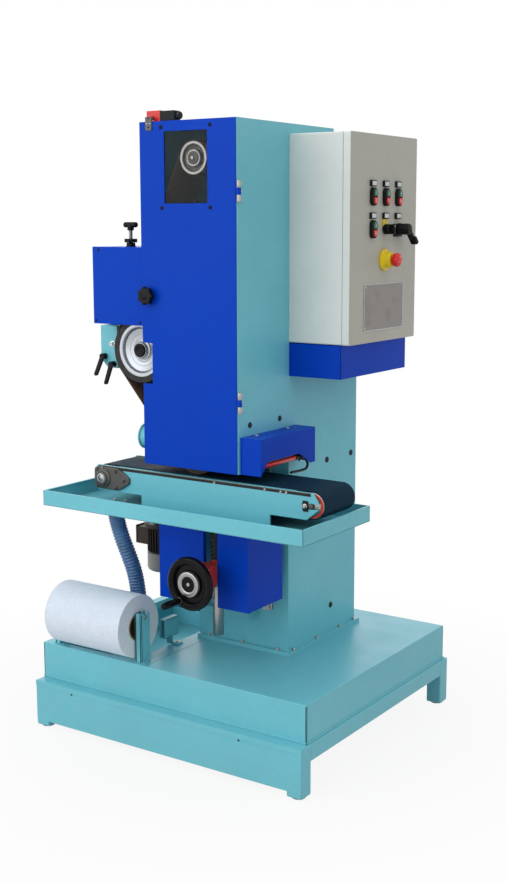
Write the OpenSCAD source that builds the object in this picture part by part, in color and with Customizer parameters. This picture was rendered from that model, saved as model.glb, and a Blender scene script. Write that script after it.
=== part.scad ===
// Belt grinding machine with a through-feed table, a coolant tank and a wall cabinet.
// Millimetres, +Z up. Places are taken from the left front edge of the column's head, with
// Y to the back and Z from the floor; placed() then moves the origin under the middle.

/* [Stand and tank] */
// width of the stand
stand_w = 990; // [900:1:1100]
// depth of the stand
stand_d = 903; // [860:1:1000]
// height of the stand
stand_h = 150; // [120:1:200]
// stand beyond the column's left side
stand_left = 377; // [360:1:420]
// stand in front of the door
stand_front = 96; // [80:1:110]
// side of the stand's square tubes
stand_tube = 50; // [40:1:60]
// wall of the stand's tubes
tube_wall = 3; // [2:0.5:5]
// thickness of the front skirt
skirt_t = 3; // [2:0.5:5]
// gap between skirt and floor
skirt_gap = 20; // [10:1:30]
// width of the tank
tank_w = 981; // [940:1:985]
// depth of the tank
tank_d = 846; // [800:1:860]
// tank in front of the door
tank_front = 57; // [50:1:70]
// height of the tank
tank_h = 113; // [90:1:140]
// sheet of the tank
tank_wall = 5; // [3:0.5:8]
// lip around the tank's bottom
tank_lip = 3; // [1:0.5:3]
// height of that lip
tank_lip_h = 7; // [4:0.5:10]
// width of the open basin
basin_w = 316; // [280:1:320]
// depth of the open basin
basin_d = 700; // [600:1:760]
// deck left of the basin
basin_side = 34; // [20:1:40]
// deck in front of the basin
basin_rim = 27; // [20:1:40]

/* [Column] */
// width of the column
column_w = 337; // [320:1:345]
// column's front face behind the door's face
column_front = 263; // [255:1:275]
// depth of the column
column_d = 401; // [360:1:420]
// height of the column up to the head
pillar_h = 605; // [590:1:640]
// sheet of the column
column_sheet = 5; // [4:0.5:8]
// foot flange beyond the column
foot_lip = 13; // [8:1:20]
// thickness of the foot flange
foot_t = 12; // [8:1:20]
// height of the head
head_h = 983; // [960:1:1000]
// head's back face behind the door's face
head_back = 511; // [480:1:540]
// height of the upright back above the head's bottom
back_rise = 212; // [180:1:240]
// height of the sloped back
back_slope = 170; // [120:1:220]
// step of the plugs in the right side
plug_r = 8; // [5:0.5:12]

/* [Front door] */
// door sheet
door_t = 3; // [2:0.5:4]
// gap between door and head
door_gap = 0.4; // [0.3:0.1:1]
// door edge inside the right side
door_side_gap = 3; // [2:0.5:5]
// width of the window opening
window_w = 150; // [120:1:160]
// height of the window opening
window_h = 199; // [160:1:210]
// window beyond the door's left edge
window_left = 88; // [70:1:100]
// window below the door's top
window_drop = 29; // [20:1:50]
// window pane thickness
pane_t = 4; // [3:0.5:5]
// pane beyond the opening
pane_lap = 14; // [10:1:18]
// notch width for the side wheel
notch_w = 35; // [25:1:45]
// notch height
notch_h = 119; // [100:1:140]
// notch above the door's bottom
notch_rise = 238; // [225:1:250]
// hinge knuckle radius
knuckle_r = 6; // [5:0.5:8]
// hinge pin radius
pin_r = 3; // [2:0.1:4]
// running clearance of pins and shafts
run_gap = 0.05; // [0.02:0.01:0.1]
// gap between hinge knuckles
knuckle_gap = 0.5; // [0.3:0.1:1]
// height of a hinge
hinge_h = 60; // [50:1:80]
// lower hinge above the door's bottom
hinge_low = 174; // [120:1:260]
// upper hinge above the door's bottom
hinge_high = 756; // [650:1:800]
// star knob radius
star_r = 25; // [20:1:30]
// star knob beyond the door's left edge
star_x = 27; // [27:1:40]
// star knob above the door's bottom
star_rise = 494; // [460:1:560]

/* [Side wheel and belt] */
// abrasive belt width
belt_w = 150; // [120:1:150]
// abrasive belt thickness
belt_t = 1.5; // [1:0.1:2]
// space between belt and rollers
belt_gap = 0.8; // [0.6:0.1:1.2]
// front edge of the rollers behind the door's face
roller_front = 30; // [24:1:34]
// side wheel radius with its tyre
wheel_r = 97; // [90:1:100]
// tyre thickness
tyre_t = 18; // [12:1:22]
// wheel centre left of the head
wheel_x = 35.6; // [30:0.1:40]
// wheel centre above the door's bottom
wheel_rise = 330; // [320:1:340]
// contact roller radius
contact_r = 74; // [66:1:76]
// contact roller centre above the door's bottom
contact_rise = 57; // [54:0.5:60]
// upper pulley radius
pulley_r = 47; // [40:1:52]
// upper pulley centre above the door's bottom
pulley_rise = 881; // [860:1:890]
// rollers' centre beyond the head's left side
roller_x = 168; // [150:1:180]
// axle radius
axle_r = 12; // [10:0.5:14]

/* [Side guard] */
// guard width
guard_w = 190; // [180:1:210]
// guard height
guard_h = 227; // [210:1:240]
// guard bottom above the door's bottom
guard_rise = 405; // [400:1:410]
// guard sheet
guard_t = 2; // [1.5:0.5:3]
// radius of the adjusting spindle
spindle_r = 6; // [5:0.5:8]
// T knob width
tknob_w = 49; // [40:1:60]

/* [Feed table] */
// tray width
tray_w = 934; // [900:1:960]
// tray beyond the head's left side
tray_left = 313; // [300:1:320]
// tray depth
tray_d = 361; // [340:1:361]
// tray in front of the door
tray_front = 106; // [100:1:110]
// tray height
tray_h = 46; // [36:1:60]
// tray bottom below the head's bottom
tray_drop = 146; // [140:1:156]
// tray sheet
tray_wall = 3; // [2:0.5:4]
// conveyor belt width
feed_w = 160; // [140:1:160]
// conveyor belt front edge behind the door's face
feed_front = 22; // [20:1:24]
// conveyor belt thickness
feed_t = 2; // [1:0.5:2.5]
// top of the conveyor belt below the head's bottom
feed_drop = 23; // [22.5:0.5:26]
// conveyor roller radius
feed_r = 37; // [34:0.5:38]
// space between conveyor belt and rollers
feed_gap = 1; // [0.8:0.1:1.2]
// drive roller centre left of the head
drive_x = 165; // [155:1:180]
// roller distance
feed_len = 738; // [720:1:750]
// side plate thickness
side_t = 6; // [5:0.5:8]
// side plate outside gap to the belt
side_gap = 8; // [7:0.5:10]
// roller shaft radius
shaft_r = 10; // [8:0.5:12]

/* [Table lift] */
// carriage travel
lift_travel = 100; // [80:1:100]
// lift screw axis beyond the head's left side
jack_x = 195; // [193:1:197]
// lift screw axis behind the door's face
jack_y = 97; // [92:1:100]
// jack gearbox bottom below the head's bottom
jack_drop = 359; // [355:1:365]
// jack gearbox height
jack_h = 72; // [66:1:74]
// jack gearbox width
jack_w = 38; // [34:1:40]
// lift screw radius
screw_r = 10; // [8:0.5:10]
// bellows outer radius
bellows_r = 22; // [20:0.5:24]
// bellows folds
bellows_folds = 10; // [6:1:14]
// screw tube radius
tube_r = 16; // [15:0.5:18]
// screw tube length
tube_len = 159; // [150:1:165]
// handwheel radius
handwheel_r = 80; // [70:1:80]
// handwheel rim width
rim_w = 20; // [16:1:22]
// handwheel hub in front of the door
handwheel_y = 22; // [20:1:26]
// handwheel depth
handwheel_d = 28; // [24:1:30]
// grip length
grip_len = 80; // [60:1:90]
// grip radius
grip_r = 11; // [9:0.5:13]
// slide guard height
slide_h = 275; // [250:1:275]
// slide guards behind the door's face
slide_y = 58; // [56:1:60]
// carriage plate thickness
carriage_t = 15; // [12:0.5:16]
// carriage plate height
carriage_h = 222; // [210:1:230]
// guide rail width
rail_w = 24; // [20:1:30]
// guide rail depth
rail_d = 20; // [16:1:22]

/* [Filter roll and hose] */
// paper roll length
roll_len = 295; // [270:1:300]
// paper roll radius
roll_r = 96; // [80:1:100]
// paper roll core bore radius
core_r = 40; // [36:0.5:42]
// roll spindle radius
spindle_rod_r = 7; // [6:0.5:9]
// roll arm height above the deck
arm_h = 152; // [145:1:160]
// hose outer radius
hose_r = 25; // [22:0.5:26]
// hose bore radius
hose_bore = 19; // [16:0.5:20]
// ribs of the hose
hose_ribs = 46; // [30:1:60]

/* [Hood and trip bar] */
// hood width
hood_w = 70; // [60:1:80]
// hood depth
hood_d = 288; // [280:1:300]
// hood height
hood_h = 105; // [90:1:120]
// hood front behind the door's face
hood_y = 12; // [10:1:14]
// hood sheet
hood_t = 2; // [1.5:0.5:3]
// trip bar radius
trip_r = 7; // [5:0.5:8]
// red length of the trip bar
trip_len = 180; // [160:1:184]

/* [Cabinet] */
// cabinet width
cabinet_w = 400; // [390:1:401]
// cabinet height
cabinet_h = 600; // [560:1:600]
// cabinet depth with its door
cabinet_d = 204; // [180:1:220]
// cabinet sheet
cabinet_t = 2; // [1.5:0.5:3]
// cabinet door depth
lid_d = 25; // [20:1:30]
// cabinet bottom above the head's bottom
cabinet_rise = 354; // [350:1:360]
// bracket box height
bracket_h = 99; // [90:1:110]
// bracket box width
bracket_w = 177; // [160:1:178]
// spacing of the control columns
control_pitch = 76; // [70:1:80]
// width of a double button
button_w = 28; // [26:1:32]
// height of a double button
button_h = 52; // [48:1:56]
// depth of its bezel
bezel_d = 12; // [10:0.5:14]
// travel of a button
button_travel = 3; // [2:0.5:4]
// emergency stop collar radius
collar_r = 32; // [28:0.5:34]
// emergency stop mushroom radius
mushroom_r = 20; // [18:0.5:22]
// emergency stop travel
estop_travel = 4; // [3:0.5:5]

/* [Hidden] */
teal = [0.45, 0.72, 0.76];
blue = [0.02, 0.25, 0.72];
warm_grey = [0.75, 0.76, 0.74];
steel = [0.62, 0.64, 0.66];
black = [0.08, 0.08, 0.09];
red = [0.72, 0.07, 0.06];
green = [0.1, 0.55, 0.2];
yellow = [0.9, 0.75, 0.1];
white = [0.9, 0.92, 0.95];
brown = [0.45, 0.25, 0.14];
$fn = 48;
// how far a cut passes the face that it opens
over = 1;
// clear space between pieces that move past each other
part_gap = 0.5;

// stand and tank
stand_x0 = -stand_left;
stand_x1 = stand_x0 + stand_w;
stand_y0 = -stand_front;
stand_y1 = stand_y0 + stand_d;
tank_x0 = stand_x0;
tank_x1 = tank_x0 + tank_w;
tank_y0 = -tank_front;
tank_y1 = tank_y0 + tank_d;
deck_z = stand_h + tank_h;
basin_x0 = tank_x0 + basin_side;
basin_x1 = basin_x0 + basin_w;
basin_y0 = tank_y0 + basin_rim;
basin_y1 = basin_y0 + basin_d;
foot_pad_h = 8;
corner_r = 4;

// column and head
head_z = deck_z + pillar_h;
head_top = head_z + head_h;
column_back = column_front + column_d;
head_y0 = door_t + door_gap;
// plate between the belt space and the motor space
bulkhead_t = 8;
belt_room_back = column_front - bulkhead_t;
belt_mid_gap = 15;
slot_z0 = head_z + 122;
slot_z1 = head_z + 663;
plug_sites_share = [[0.55, 0.95], [0.92, 0.95], [0.62, 0.16]];
spigot_len = 60;
spigot_r = 35;
spigot_lip = 4;
spigot_y = 81;
spigot_z = head_z + 66;

// front door
door_x1 = column_w - door_side_gap;
window_z1 = head_top - window_drop;
window_z0 = window_z1 - window_h;
hinge_x = column_w + knuckle_r + door_side_gap / 3;
hinge_y = door_t / 2;
leaf_t = 3;
leaf_d = 30;
hinge_sites = [head_z + hinge_low, head_z + hinge_high];
star_z = head_z + star_rise;
star_d = 18;
star_stem = 6;
star_nut_t = 4;
screw_head_r = 4;
screw_head_t = 2;
key_w = 23;
key_x = 24;
key_h = 38;
key_over = 13;
key_t = 3;
tongue_w = 12;
tongue_len = 30;
tongue_t = 3;

// interlock switch
switch_x = 15;
switch_w = 49;
switch_body_w = 50;
switch_gland_w = 12;
switch_y = 15;
switch_d = 30;
switch_h = 31;
switch_gap = 3;

// belt train
wheel_z = head_z + wheel_rise;
pulley_z = head_z + pulley_rise;
contact_z = head_z + contact_rise;
wheel_c = [-wheel_x, wheel_z];
pulley_c = [roller_x, pulley_z];
contact_c = [roller_x, contact_z];
roller_back = roller_front + belt_w;
hub_r = 24;
hub_lead = 6;
spoke_hole_r = 18;
spoke_holes = 6;
spoke_ring_share = 0.62;
web_t = 10;
plate_t = 10;
plate_y = roller_back + 6;
plate_left = 196;
plate_z0 = wheel_z - 66;
plate_z1 = wheel_z + 63;
ear_w = 66;
ear_y = 80;
ear_cut = 26;
block_w = 56;
motor_r = 85;
motor_len = 200;
shaft_depth = 40;
motor_flange_r = 100;
motor_flange_t = 14;
motor_fins = 16;
fin_h = 6;
fin_t = 4;

// tracking adjuster on the side guard
guard_z0 = head_z + guard_rise;
guard_z1 = guard_z0 + guard_h;
guard_y0 = 4;
guard_y1 = plate_y + plate_t + 12;
guard_slope = 50;
// raised lip over the gap where the belt enters the head
lip_d = 16;
lip_h = 40;
lip_y0 = 22;
lip_y1 = plate_y + 2;
adjust_x = -88;
adjust_y = 60;
neck_r = 14;
neck_h = 12;
lock_r = 19;
lock_h = 11;
lock_z = guard_z1 + neck_h + part_gap;
tknob_z = guard_z1 + 64;
tknob_h = 16;
tknob_d = 18;
lever_r = 9;
lever_len = 60;
lever_t = 8;
stud_r = 4;
lever_sites = [
    [-wheel_x - plate_left + lever_r * 2, plate_z0 + ear_cut + lever_r],
    [-wheel_x - plate_left + ear_w - lever_r * 1.5, plate_z0 + lever_r * 1.4]
];

// table
tray_x0 = -tray_left;
tray_x1 = tray_x0 + tray_w;
tray_y0 = -tray_front;
tray_y1 = tray_y0 + tray_d;
tray_z0 = head_z - tray_drop;
tray_z1 = tray_z0 + tray_h;
feed_top = head_z - feed_drop;
feed_z = feed_top - feed_t - feed_gap - feed_r;
feed_back = feed_front + feed_w;
drive_cx = -drive_x;
tail_cx = drive_cx + feed_len;
side_y0 = feed_front - side_gap - side_t;
side_y1 = feed_back + side_gap;
side_z0 = feed_z - 39;
side_z1 = feed_z + 38;
side_x0 = drive_cx - 38;
side_x1 = tail_cx + 25;
bearing_r = 34;
bolt_r = 4;
bearing_t = 8;
bearing_hub_r = 22;
bearing_hub_t = 18;
bearing_tip = 102;
plate_corner = 12.5;
plate_foot_x0 = -22;
plate_foot_x1 = 440;
tail_take_up = 27;
tie_r = 8;
tie_sites_share = [0.25, 0.5, 0.75];
tail_slot = 16;
roller_over = 2;
cap_t = 3;
gear_socket = 20;
slider_gap = 1;
slider_t = 4;
gear_y0 = tray_y1 + 7;
gear_d = 78;
gear_w = 100;
gear_z0 = tray_z0 - 2;
gear_z1 = feed_z + 45;
neck2_r = 30;
feed_motor_r = 60;
feed_motor_y = gear_y0 + gear_d / 2;
feed_motor_z0 = head_z - 418;
feed_motor_fin_z0 = head_z - 358;
feed_motor_fin_z1 = head_z - 272;
feed_flange_t = 14;
feed_flange_z = feed_motor_fin_z1;
box_w = 51;
box_h = 68;
box_d = 80;

// table lift
jack_z0 = head_z - jack_drop;
jack_z1 = jack_z0 + jack_h;
jack_front_w = 60;
jack_front_y0 = 18;
jack_front_y1 = 52;
jack_back_y = jack_y + 28;
worm_z = jack_z0 + 30;
jack_corner_r = 12;
input_r = 8;
bracket_x0 = jack_x + jack_w / 2 + 1;
bracket_t = 4;
ledge_z0 = deck_z + 101;
ledge_t = 19;
ledge_x0 = 20;
ledge_y0 = column_front - 38;
slide_z0 = tray_z0 - slide_h;
slide_t = 2;
slide_x0 = 4;
slide_x1 = 330;
slit_x0 = 170;
slit_x1 = 221;
carriage_x0 = 30;
carriage_x1 = 305;
carriage_y0 = column_front - rail_d - 18;
carriage_z0 = tray_z0 - carriage_h;
carriage_slot_top = tray_z0 - 20;
rail_clear = 3;
rail_sites = [66, 269];
rail_z0 = deck_z + 137;
rail_z1 = head_z - 18;
shoe_w = 46;
shoe_h = 60;

// handwheel
ring_r = 40;
ring_in_r = 33;
ring_t = 6;
hw_hub_r = 22;
hw_y0 = -handwheel_y - handwheel_d;
hw_y1 = -handwheel_y;
grip_ring = 62.4;
grip_angle = 238;
grip_stud_r = 5;
grip_tip_y = hw_y0 - grip_len - part_gap;

// roll and hose
roll_x1 = -15;
roll_x0 = roll_x1 - roll_len;
roll_y = -24;
roll_z = deck_z + 107;
rod_y = roll_y;
rod_z = roll_z + core_r - spindle_rod_r - part_gap;
arm_w = 24;
arm_d = 42;
arm_t = 6;
box_x0 = -47;
box_x1 = -25;
box_y0 = 115;
box_y1 = 185;
box_z0 = deck_z + 25;
box_z1 = deck_z + 85;
// route of the drain hose, from the tray down into the basin
hose_route = [
    [-150, 40, 711.6],
    [-150, 40, 690],
    [-148, 48, 650],
    [-140, 60, 600],
    [-130, 74, 550],
    [-122, 88, 500],
    [-119, 98, 450],
    [-120, 106, 400],
    [-123, 111, 350],
    [-126, 114, 300],
    [-128, 115, 250],
    [-129, 115, 215]
];
hose_sides = 8;
outlet_x = -150;
outlet_y = 40;
flange_h = 10;
flange_r = 36;

// hood and trip bar
hood_z1 = head_z + hood_h;
trip_lug_r = 10;
trip_x = column_w + hood_w - hood_t - trip_lug_r - 2;
trip_z = head_z + 24;
trip_y0 = 28;
trip_box_w = 34;
trip_box_d = 50;
trip_pin_r = 4;
trip_lug_h = 18;
trip_arm = 30;
trip_pin_y = trip_y0 + trip_len + trip_arm;
trip_hook = 70;
trip_drop = 44;
trip_hook_r = 4;
hood_rise = 37;

// cabinet
cabinet_x0 = column_w;
cabinet_y0 = column_front + 1;
cabinet_y1 = cabinet_y0 + cabinet_w;
cabinet_z0 = head_z + cabinet_rise;
cabinet_z1 = cabinet_z0 + cabinet_h;
cabinet_x1 = cabinet_x0 + cabinet_d;
lid_x0 = cabinet_x1 - lid_d;
seam = 0.5;
lid_hinge_x = lid_x0 + seam / 2;
lid_hinge_y = cabinet_y1 + knuckle_r + part_gap;
lid_hinge_h = 60;
lid_hinge_sites = [cabinet_z0 + 70, cabinet_z1 - 130];
lid_leaf = 20;
control_y = (cabinet_y0 + cabinet_y1) / 2;
row1_z = cabinet_z1 - 178;
row2_z = cabinet_z1 - 271;
label1_z = cabinet_z1 - 140;
label2_z = cabinet_z1 - 232;
label_w = 30;
label_h = 18;
label_t = 8;
estop_z = cabinet_z1 - 360;
button_gap = 0.5;
cap_w = 20;
cap_split = 1.5;
cap_rise = 3;
bezel_floor = 2;
collar_h = 30;
stem_r = 9;
mushroom_h = 20;
plate_side = 44;
selector_r = 15;
selector_h = 35;
handle_len = 60;
handle_rise = 38;
handle_hub_r = 18;
handle_w = 14;
double_sites = [
    [control_y - control_pitch, row1_z],
    [control_y, row1_z],
    [control_y + control_pitch, row1_z],
    [control_y - control_pitch, row2_z]
];

// small steps, laps and clearances of single parts
bracket_drop = 5;
bracket_web = 30;
jack_step = 4;
jack_lip = 2;
tube_clear = 1.5;
boot_clear = 3;
boot_fold = 4;
hub_gap = 2;
slit_lap = 5;
gusset_d = 60;
shoe_gap = 8;
stub_over = 1;
cap_step = 2;
flange_step = 8;
fin_end = 4;
box_lap = 18;
box_rise = 21;
rib_step = 2;
roll_gap = 3;
axle_lead = 4;
spindle_dip = 12;
lock_notches = 10;
notch_out = 1;
notch_r = 3;
lever_angles = [247, 252];
pin_over = 2;
bracket_end = 5;
plate_trim = 6;
yellow_t = 3;
stem_lift = 3;

// the middle of the footprint, which becomes the origin
mid_x = (stand_x0 + tray_x1) / 2;
mid_y = (grip_tip_y + stand_y1) / 2;

module placed() {
    translate([-mid_x, -mid_y, 0])
        children();
}

// a block between two corners
module span(low, high) {
    translate(low)
        cube(high - low);
}

// a round bar along X, Y or Z, from its start point
module bar_x(start, length, r) {
    translate(start)
        rotate([0, 90, 0])
            cylinder(h = length, r = r);
}

module bar_y(start, length, r) {
    translate(start)
        rotate([-90, 0, 0])
            cylinder(h = length, r = r);
}

module bar_z(start, length, r) {
    translate(start)
        cylinder(h = length, r = r);
}

// a ring along Y
module ring_y(start, length, r, bore) {
    difference() {
        bar_y(start, length, r);
        bar_y(start - [0, over, 0], length + 2 * over, bore);
    }
}

// an outline in X and Z, made thick along Y
module slab_y(y0, y1) {
    translate([0, y1, 0])
        rotate([90, 0, 0])
            linear_extrude(y1 - y0)
                children();
}

// an outline in Y and Z, made thick along X
module slab_x(x0, x1) {
    translate([x0, 0, 0])
        rotate([90, 0, 90])
            linear_extrude(x1 - x0)
                children();
}

module base_frame() {
    y_in = stand_y0 + stand_tube;
    color(teal) placed() difference() {
        union() {
            for (x = [stand_x0, stand_x1 - stand_tube])
                for (y = [stand_y0, stand_y1 - stand_tube])
                    span([x, y, 0], [x + stand_tube, y + stand_tube, stand_h]);
            for (y = [stand_y0, stand_y1 - stand_tube])
                span([stand_x0, y, stand_h - stand_tube], [stand_x1, y + stand_tube, stand_h]);
            for (x = [stand_x0, stand_x1 - stand_tube, (stand_x0 + stand_x1 - stand_tube) / 2])
                span([x, stand_y0, stand_h - stand_tube], [x + stand_tube, stand_y1, stand_h]);
            span([stand_x0, stand_y0, skirt_gap], [stand_x1, stand_y0 + skirt_t, stand_h]);
        }
        bar_y([stand_x0 + stand_tube, stand_y0 - over, stand_h - stand_tube / 2],
            skirt_t + over, tube_wall);
    }
}

module coolant_tank() {
    color(teal) placed() difference() {
        union() {
            span([tank_x0, tank_y0, stand_h], [tank_x1, tank_y1, deck_z]);
            span([tank_x0, tank_y0 - tank_lip, stand_h],
                [tank_x1 + tank_lip, tank_y1 + tank_lip, stand_h + tank_lip_h]);
        }
        span([tank_x0 + tank_wall, tank_y0 + tank_wall, stand_h + tank_wall],
            [tank_x1 - tank_wall, tank_y1 - tank_wall, deck_z - tank_wall]);
        span([basin_x0, basin_y0, deck_z - tank_wall - over], [basin_x1, basin_y1, deck_z + over]);
    }
    color(teal) placed() difference() {
        span([basin_x1, tank_y0 + tank_wall / 2, stand_h + tank_wall / 2],
            [basin_x1 + tank_wall, tank_y1 - tank_wall / 2, deck_z - tank_wall / 2]);
        span([basin_x1 - over, basin_y1 - basin_w / 3, stand_h + tank_wall],
            [basin_x1 + tank_wall + over, basin_y1, stand_h + tank_h / 2]);
    }
}

// side view of the column, in Y and Z, drawn in by a margin
module column_side(margin) {
    step_z = head_z + back_rise;
    polygon([
        [column_front + margin, deck_z + (margin == 0 ? 0 : -over)],
        [column_back - margin, deck_z + (margin == 0 ? 0 : -over)],
        [column_back - margin, step_z - margin / 2],
        [head_back - margin, step_z + back_slope - margin / 2],
        [head_back - margin, head_top - margin],
        [column_front + margin, head_top - margin]
    ]);
}

module column() {
    mouth = contact_r + belt_gap + belt_t + belt_mid_gap;
    color(teal) placed() difference() {
        union() {
            slab_x(0, column_w) column_side(0);
            span([0, head_y0, head_z], [column_w, column_front + over, head_top]);
            span([0, column_front - foot_lip, deck_z],
                [column_w + foot_lip, column_back + foot_lip, deck_z + foot_t]);
            bar_x([-spigot_len, spigot_y, spigot_z], spigot_len + over, spigot_r);
            bar_x([-spigot_len, spigot_y, spigot_z], spigot_lip, spigot_r + spigot_lip);
        }
        slab_x(column_sheet, column_w - column_sheet) column_side(column_sheet);
        span([column_sheet, head_y0 - over, head_z + column_sheet],
            [column_w - column_sheet, belt_room_back, head_top - column_sheet]);
        span([roller_x - mouth, roller_front - belt_mid_gap, head_z - over],
            [roller_x + mouth, roller_back + belt_mid_gap, head_z + column_sheet + over]);
        span([-over, head_y0 - over, slot_z0], [column_sheet + over, plate_y + plate_t, slot_z1]);
        bar_y([roller_x, belt_room_back - over, contact_z], bulkhead_t + column_sheet + 2 * over,
            hub_r + hub_gap);
        for (p = plug_sites_share)
            bar_x([column_w - column_sheet / 2, column_front + column_d * p[0],
                deck_z + pillar_h * p[1]], column_sheet, plug_r);
        bar_x([-spigot_len + spigot_lip, spigot_y, spigot_z], spigot_len + column_sheet, spigot_r - spigot_lip);
    }
    color(black) placed()
        for (p = plug_sites_share)
            bar_x([column_w - column_sheet / 2, column_front + column_d * p[0],
                deck_z + pillar_h * p[1]], column_sheet / 2 + screw_head_t, plug_r);
    color(steel) placed() {
        bar_y([roller_x, roller_front, pulley_z], belt_room_back - roller_front + over, axle_r);
        bar_y([roller_x, roller_back + hub_gap, pulley_z], belt_room_back - roller_back, hub_r);
    }
}

module guide_rails() {
    color(steel) placed()
        for (x = rail_sites)
            slab_z(rail_z0, rail_z1) polygon([
                [x - rail_w / 2, column_front],
                [x - rail_w / 2, column_front - rail_d / 3],
                [x - rail_w / 4, column_front - rail_d / 2],
                [x - rail_w / 2, column_front - rail_d * 0.67],
                [x - rail_w / 2, column_front - rail_d],
                [x + rail_w / 2, column_front - rail_d],
                [x + rail_w / 2, column_front - rail_d * 0.67],
                [x + rail_w / 4, column_front - rail_d / 2],
                [x + rail_w / 2, column_front - rail_d / 3],
                [x + rail_w / 2, column_front]
            ]);
}

// an outline in X and Y, made tall along Z
module slab_z(z0, z1) {
    translate([0, 0, z0])
        linear_extrude(z1 - z0)
            children();
}

module jack_bracket() {
    top = jack_z0 + jack_h;
    color(teal) placed() {
        span([bracket_x0, jack_front_y1, jack_z0], [bracket_x0 + bracket_t, column_front, top - bracket_drop]);
        span([bracket_x0, column_front - bracket_web, ledge_z0 + ledge_t / 2],
            [bracket_x0 + bracket_t, column_front, jack_z0 + over]);
        span([ledge_x0, ledge_y0, ledge_z0], [bracket_x0 + bracket_t, column_front, ledge_z0 + ledge_t]);
    }
}

module jack_housing() {
    front_z0 = jack_z0;
    color(red) placed() difference() {
        union() {
            hull() {
                for (s = [-1, 1])
                    bar_y([jack_x + s * (jack_front_w / 2 - jack_corner_r), jack_front_y0,
                        front_z0 + jack_corner_r], jack_front_y1 - jack_front_y0, jack_corner_r);
                span([jack_x - jack_front_w / 2, jack_front_y0, jack_z1 - jack_corner_r],
                    [jack_x + jack_front_w / 2, jack_front_y1, jack_z1]);
            }
            span([jack_x - jack_w / 2, jack_front_y1 - over, jack_z0],
                [bracket_x0, jack_back_y, jack_z1 - jack_step]);
            bar_z([jack_x, jack_y, jack_z0 - over], jack_h + jack_lip, jack_w / 2);
        }
        bar_z([jack_x, jack_y, jack_z0 - 2 * over], jack_h + 4 * over, screw_r + part_gap);
        bar_y([jack_x, jack_front_y0 - over, worm_z], jack_front_y1 - jack_front_y0, input_r + run_gap);
    }
    color(steel) placed() difference() {
        bar_z([jack_x, jack_y, jack_z0 - tube_len], tube_len, tube_r);
        bar_z([jack_x, jack_y, jack_z0 - tube_len + tube_wall], tube_len, screw_r + tube_clear);
    }
}

module jack_screw() {
    color(steel) placed()
        bar_z([jack_x, jack_y, jack_z0 - tube_len + lift_travel + 2 * tube_wall],
            tray_z0 - jack_z0 + tube_len - lift_travel - 2 * tube_wall, screw_r);
}

module bellows() {
    z0 = jack_z1 + over;
    height = tray_z0 - part_gap - z0;
    step = height / bellows_folds;
    inner = screw_r + boot_clear;
    valley = bellows_r - boot_fold;
    color(black) placed()
        translate([jack_x, jack_y, z0])
            rotate_extrude()
                polygon(concat(
                    [[inner, 0]],
                    [for (i = [0 : 2 * bellows_folds])
                        [i % 2 == 0 ? valley : bellows_r, i * step / 2]],
                    [[inner, height]]
                ));
}

module handwheel() {
    rim_d = handwheel_d * 0.7;
    web_y = handwheel_d * 0.45;
    color(black) placed()
        translate([jack_x, hw_y0, worm_z])
            rotate([-90, 0, 0])
                rotate_extrude()
                    polygon([
                        [0, ring_t / 2],
                        [ring_r, ring_t / 2],
                        [ring_r, web_y],
                        [handwheel_r - rim_w * 1.2, web_y],
                        [handwheel_r - rim_w, rim_d * 0.1],
                        [handwheel_r - rim_w * 0.7, 0],
                        [handwheel_r - rim_w * 0.25, 0],
                        [handwheel_r, rim_d * 0.3],
                        [handwheel_r, rim_d * 0.7],
                        [handwheel_r - rim_w * 0.25, rim_d],
                        [handwheel_r - rim_w, rim_d],
                        [handwheel_r - rim_w * 1.2, web_y + ring_t],
                        [hw_hub_r, web_y + ring_t],
                        [hw_hub_r, handwheel_d],
                        [0, handwheel_d]
                    ]);
    color(steel) placed() {
        ring_y([jack_x, hw_y0 - ring_t / 2, worm_z], ring_t + over, ring_r - ring_t / 6, ring_in_r);
        bar_y([jack_x, hw_y1 - over, worm_z], handwheel_y + jack_front_y1 - over - part_gap, input_r);
        grip_at() bar_y([0, -grip_len * 0.8, 0], grip_len * 0.8 + rim_w / 2, grip_stud_r);
    }
}

// the grip's place on the rim, at the rim's front face
module grip_at() {
    translate([jack_x + grip_ring * cos(grip_angle), hw_y0, worm_z + grip_ring * sin(grip_angle)])
        children();
}

module handwheel_grip() {
    slim = grip_r * 0.72;
    color(black) placed() grip_at() difference() {
        translate([0, -part_gap, 0])
            rotate([90, 0, 0])
                rotate_extrude()
                    polygon([
                        [0, 0],
                        [slim, 0],
                        [slim, grip_len * 0.06],
                        [grip_r * 0.9, grip_len * 0.3],
                        [grip_r, grip_len * 0.6],
                        [grip_r * 0.97, grip_len * 0.85],
                        [grip_r * 0.7, grip_len * 0.97],
                        [0, grip_len]
                    ]);
        bar_y([0, -grip_len * 0.85, 0], grip_len, grip_stud_r + run_gap);
    }
}

module tray() {
    color(teal) placed() difference() {
        union() {
            difference() {
                span([tray_x0, tray_y0, tray_z0], [tray_x1, tray_y1, tray_z1]);
                span([tray_x0 + tray_wall, tray_y0 + tray_wall, tray_z0 + tray_wall],
                    [tray_x1 - tray_wall, tray_y1 - tray_wall, tray_z1 + over]);
            }
            for (x = rail_sites)
                span([x - rail_w / 2 - rail_clear - tray_wall,
                        column_front - rail_d - rail_clear - tray_wall, tray_z0],
                    [x + rail_w / 2 + rail_clear + tray_wall, tray_y1, tray_z1]);
            bar_z([outlet_x, outlet_y, tray_z0 - flange_h], flange_h + over, flange_r);
        }
        for (x = rail_sites)
            span([x - rail_w / 2 - rail_clear, column_front - rail_d - rail_clear, tray_z0 - over],
                [x + rail_w / 2 + rail_clear, tray_y1 + over, tray_z1 + over]);
        bar_z([outlet_x, outlet_y, tray_z0 - flange_h - over], flange_h + tray_h, hose_bore);
    }
}

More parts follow.
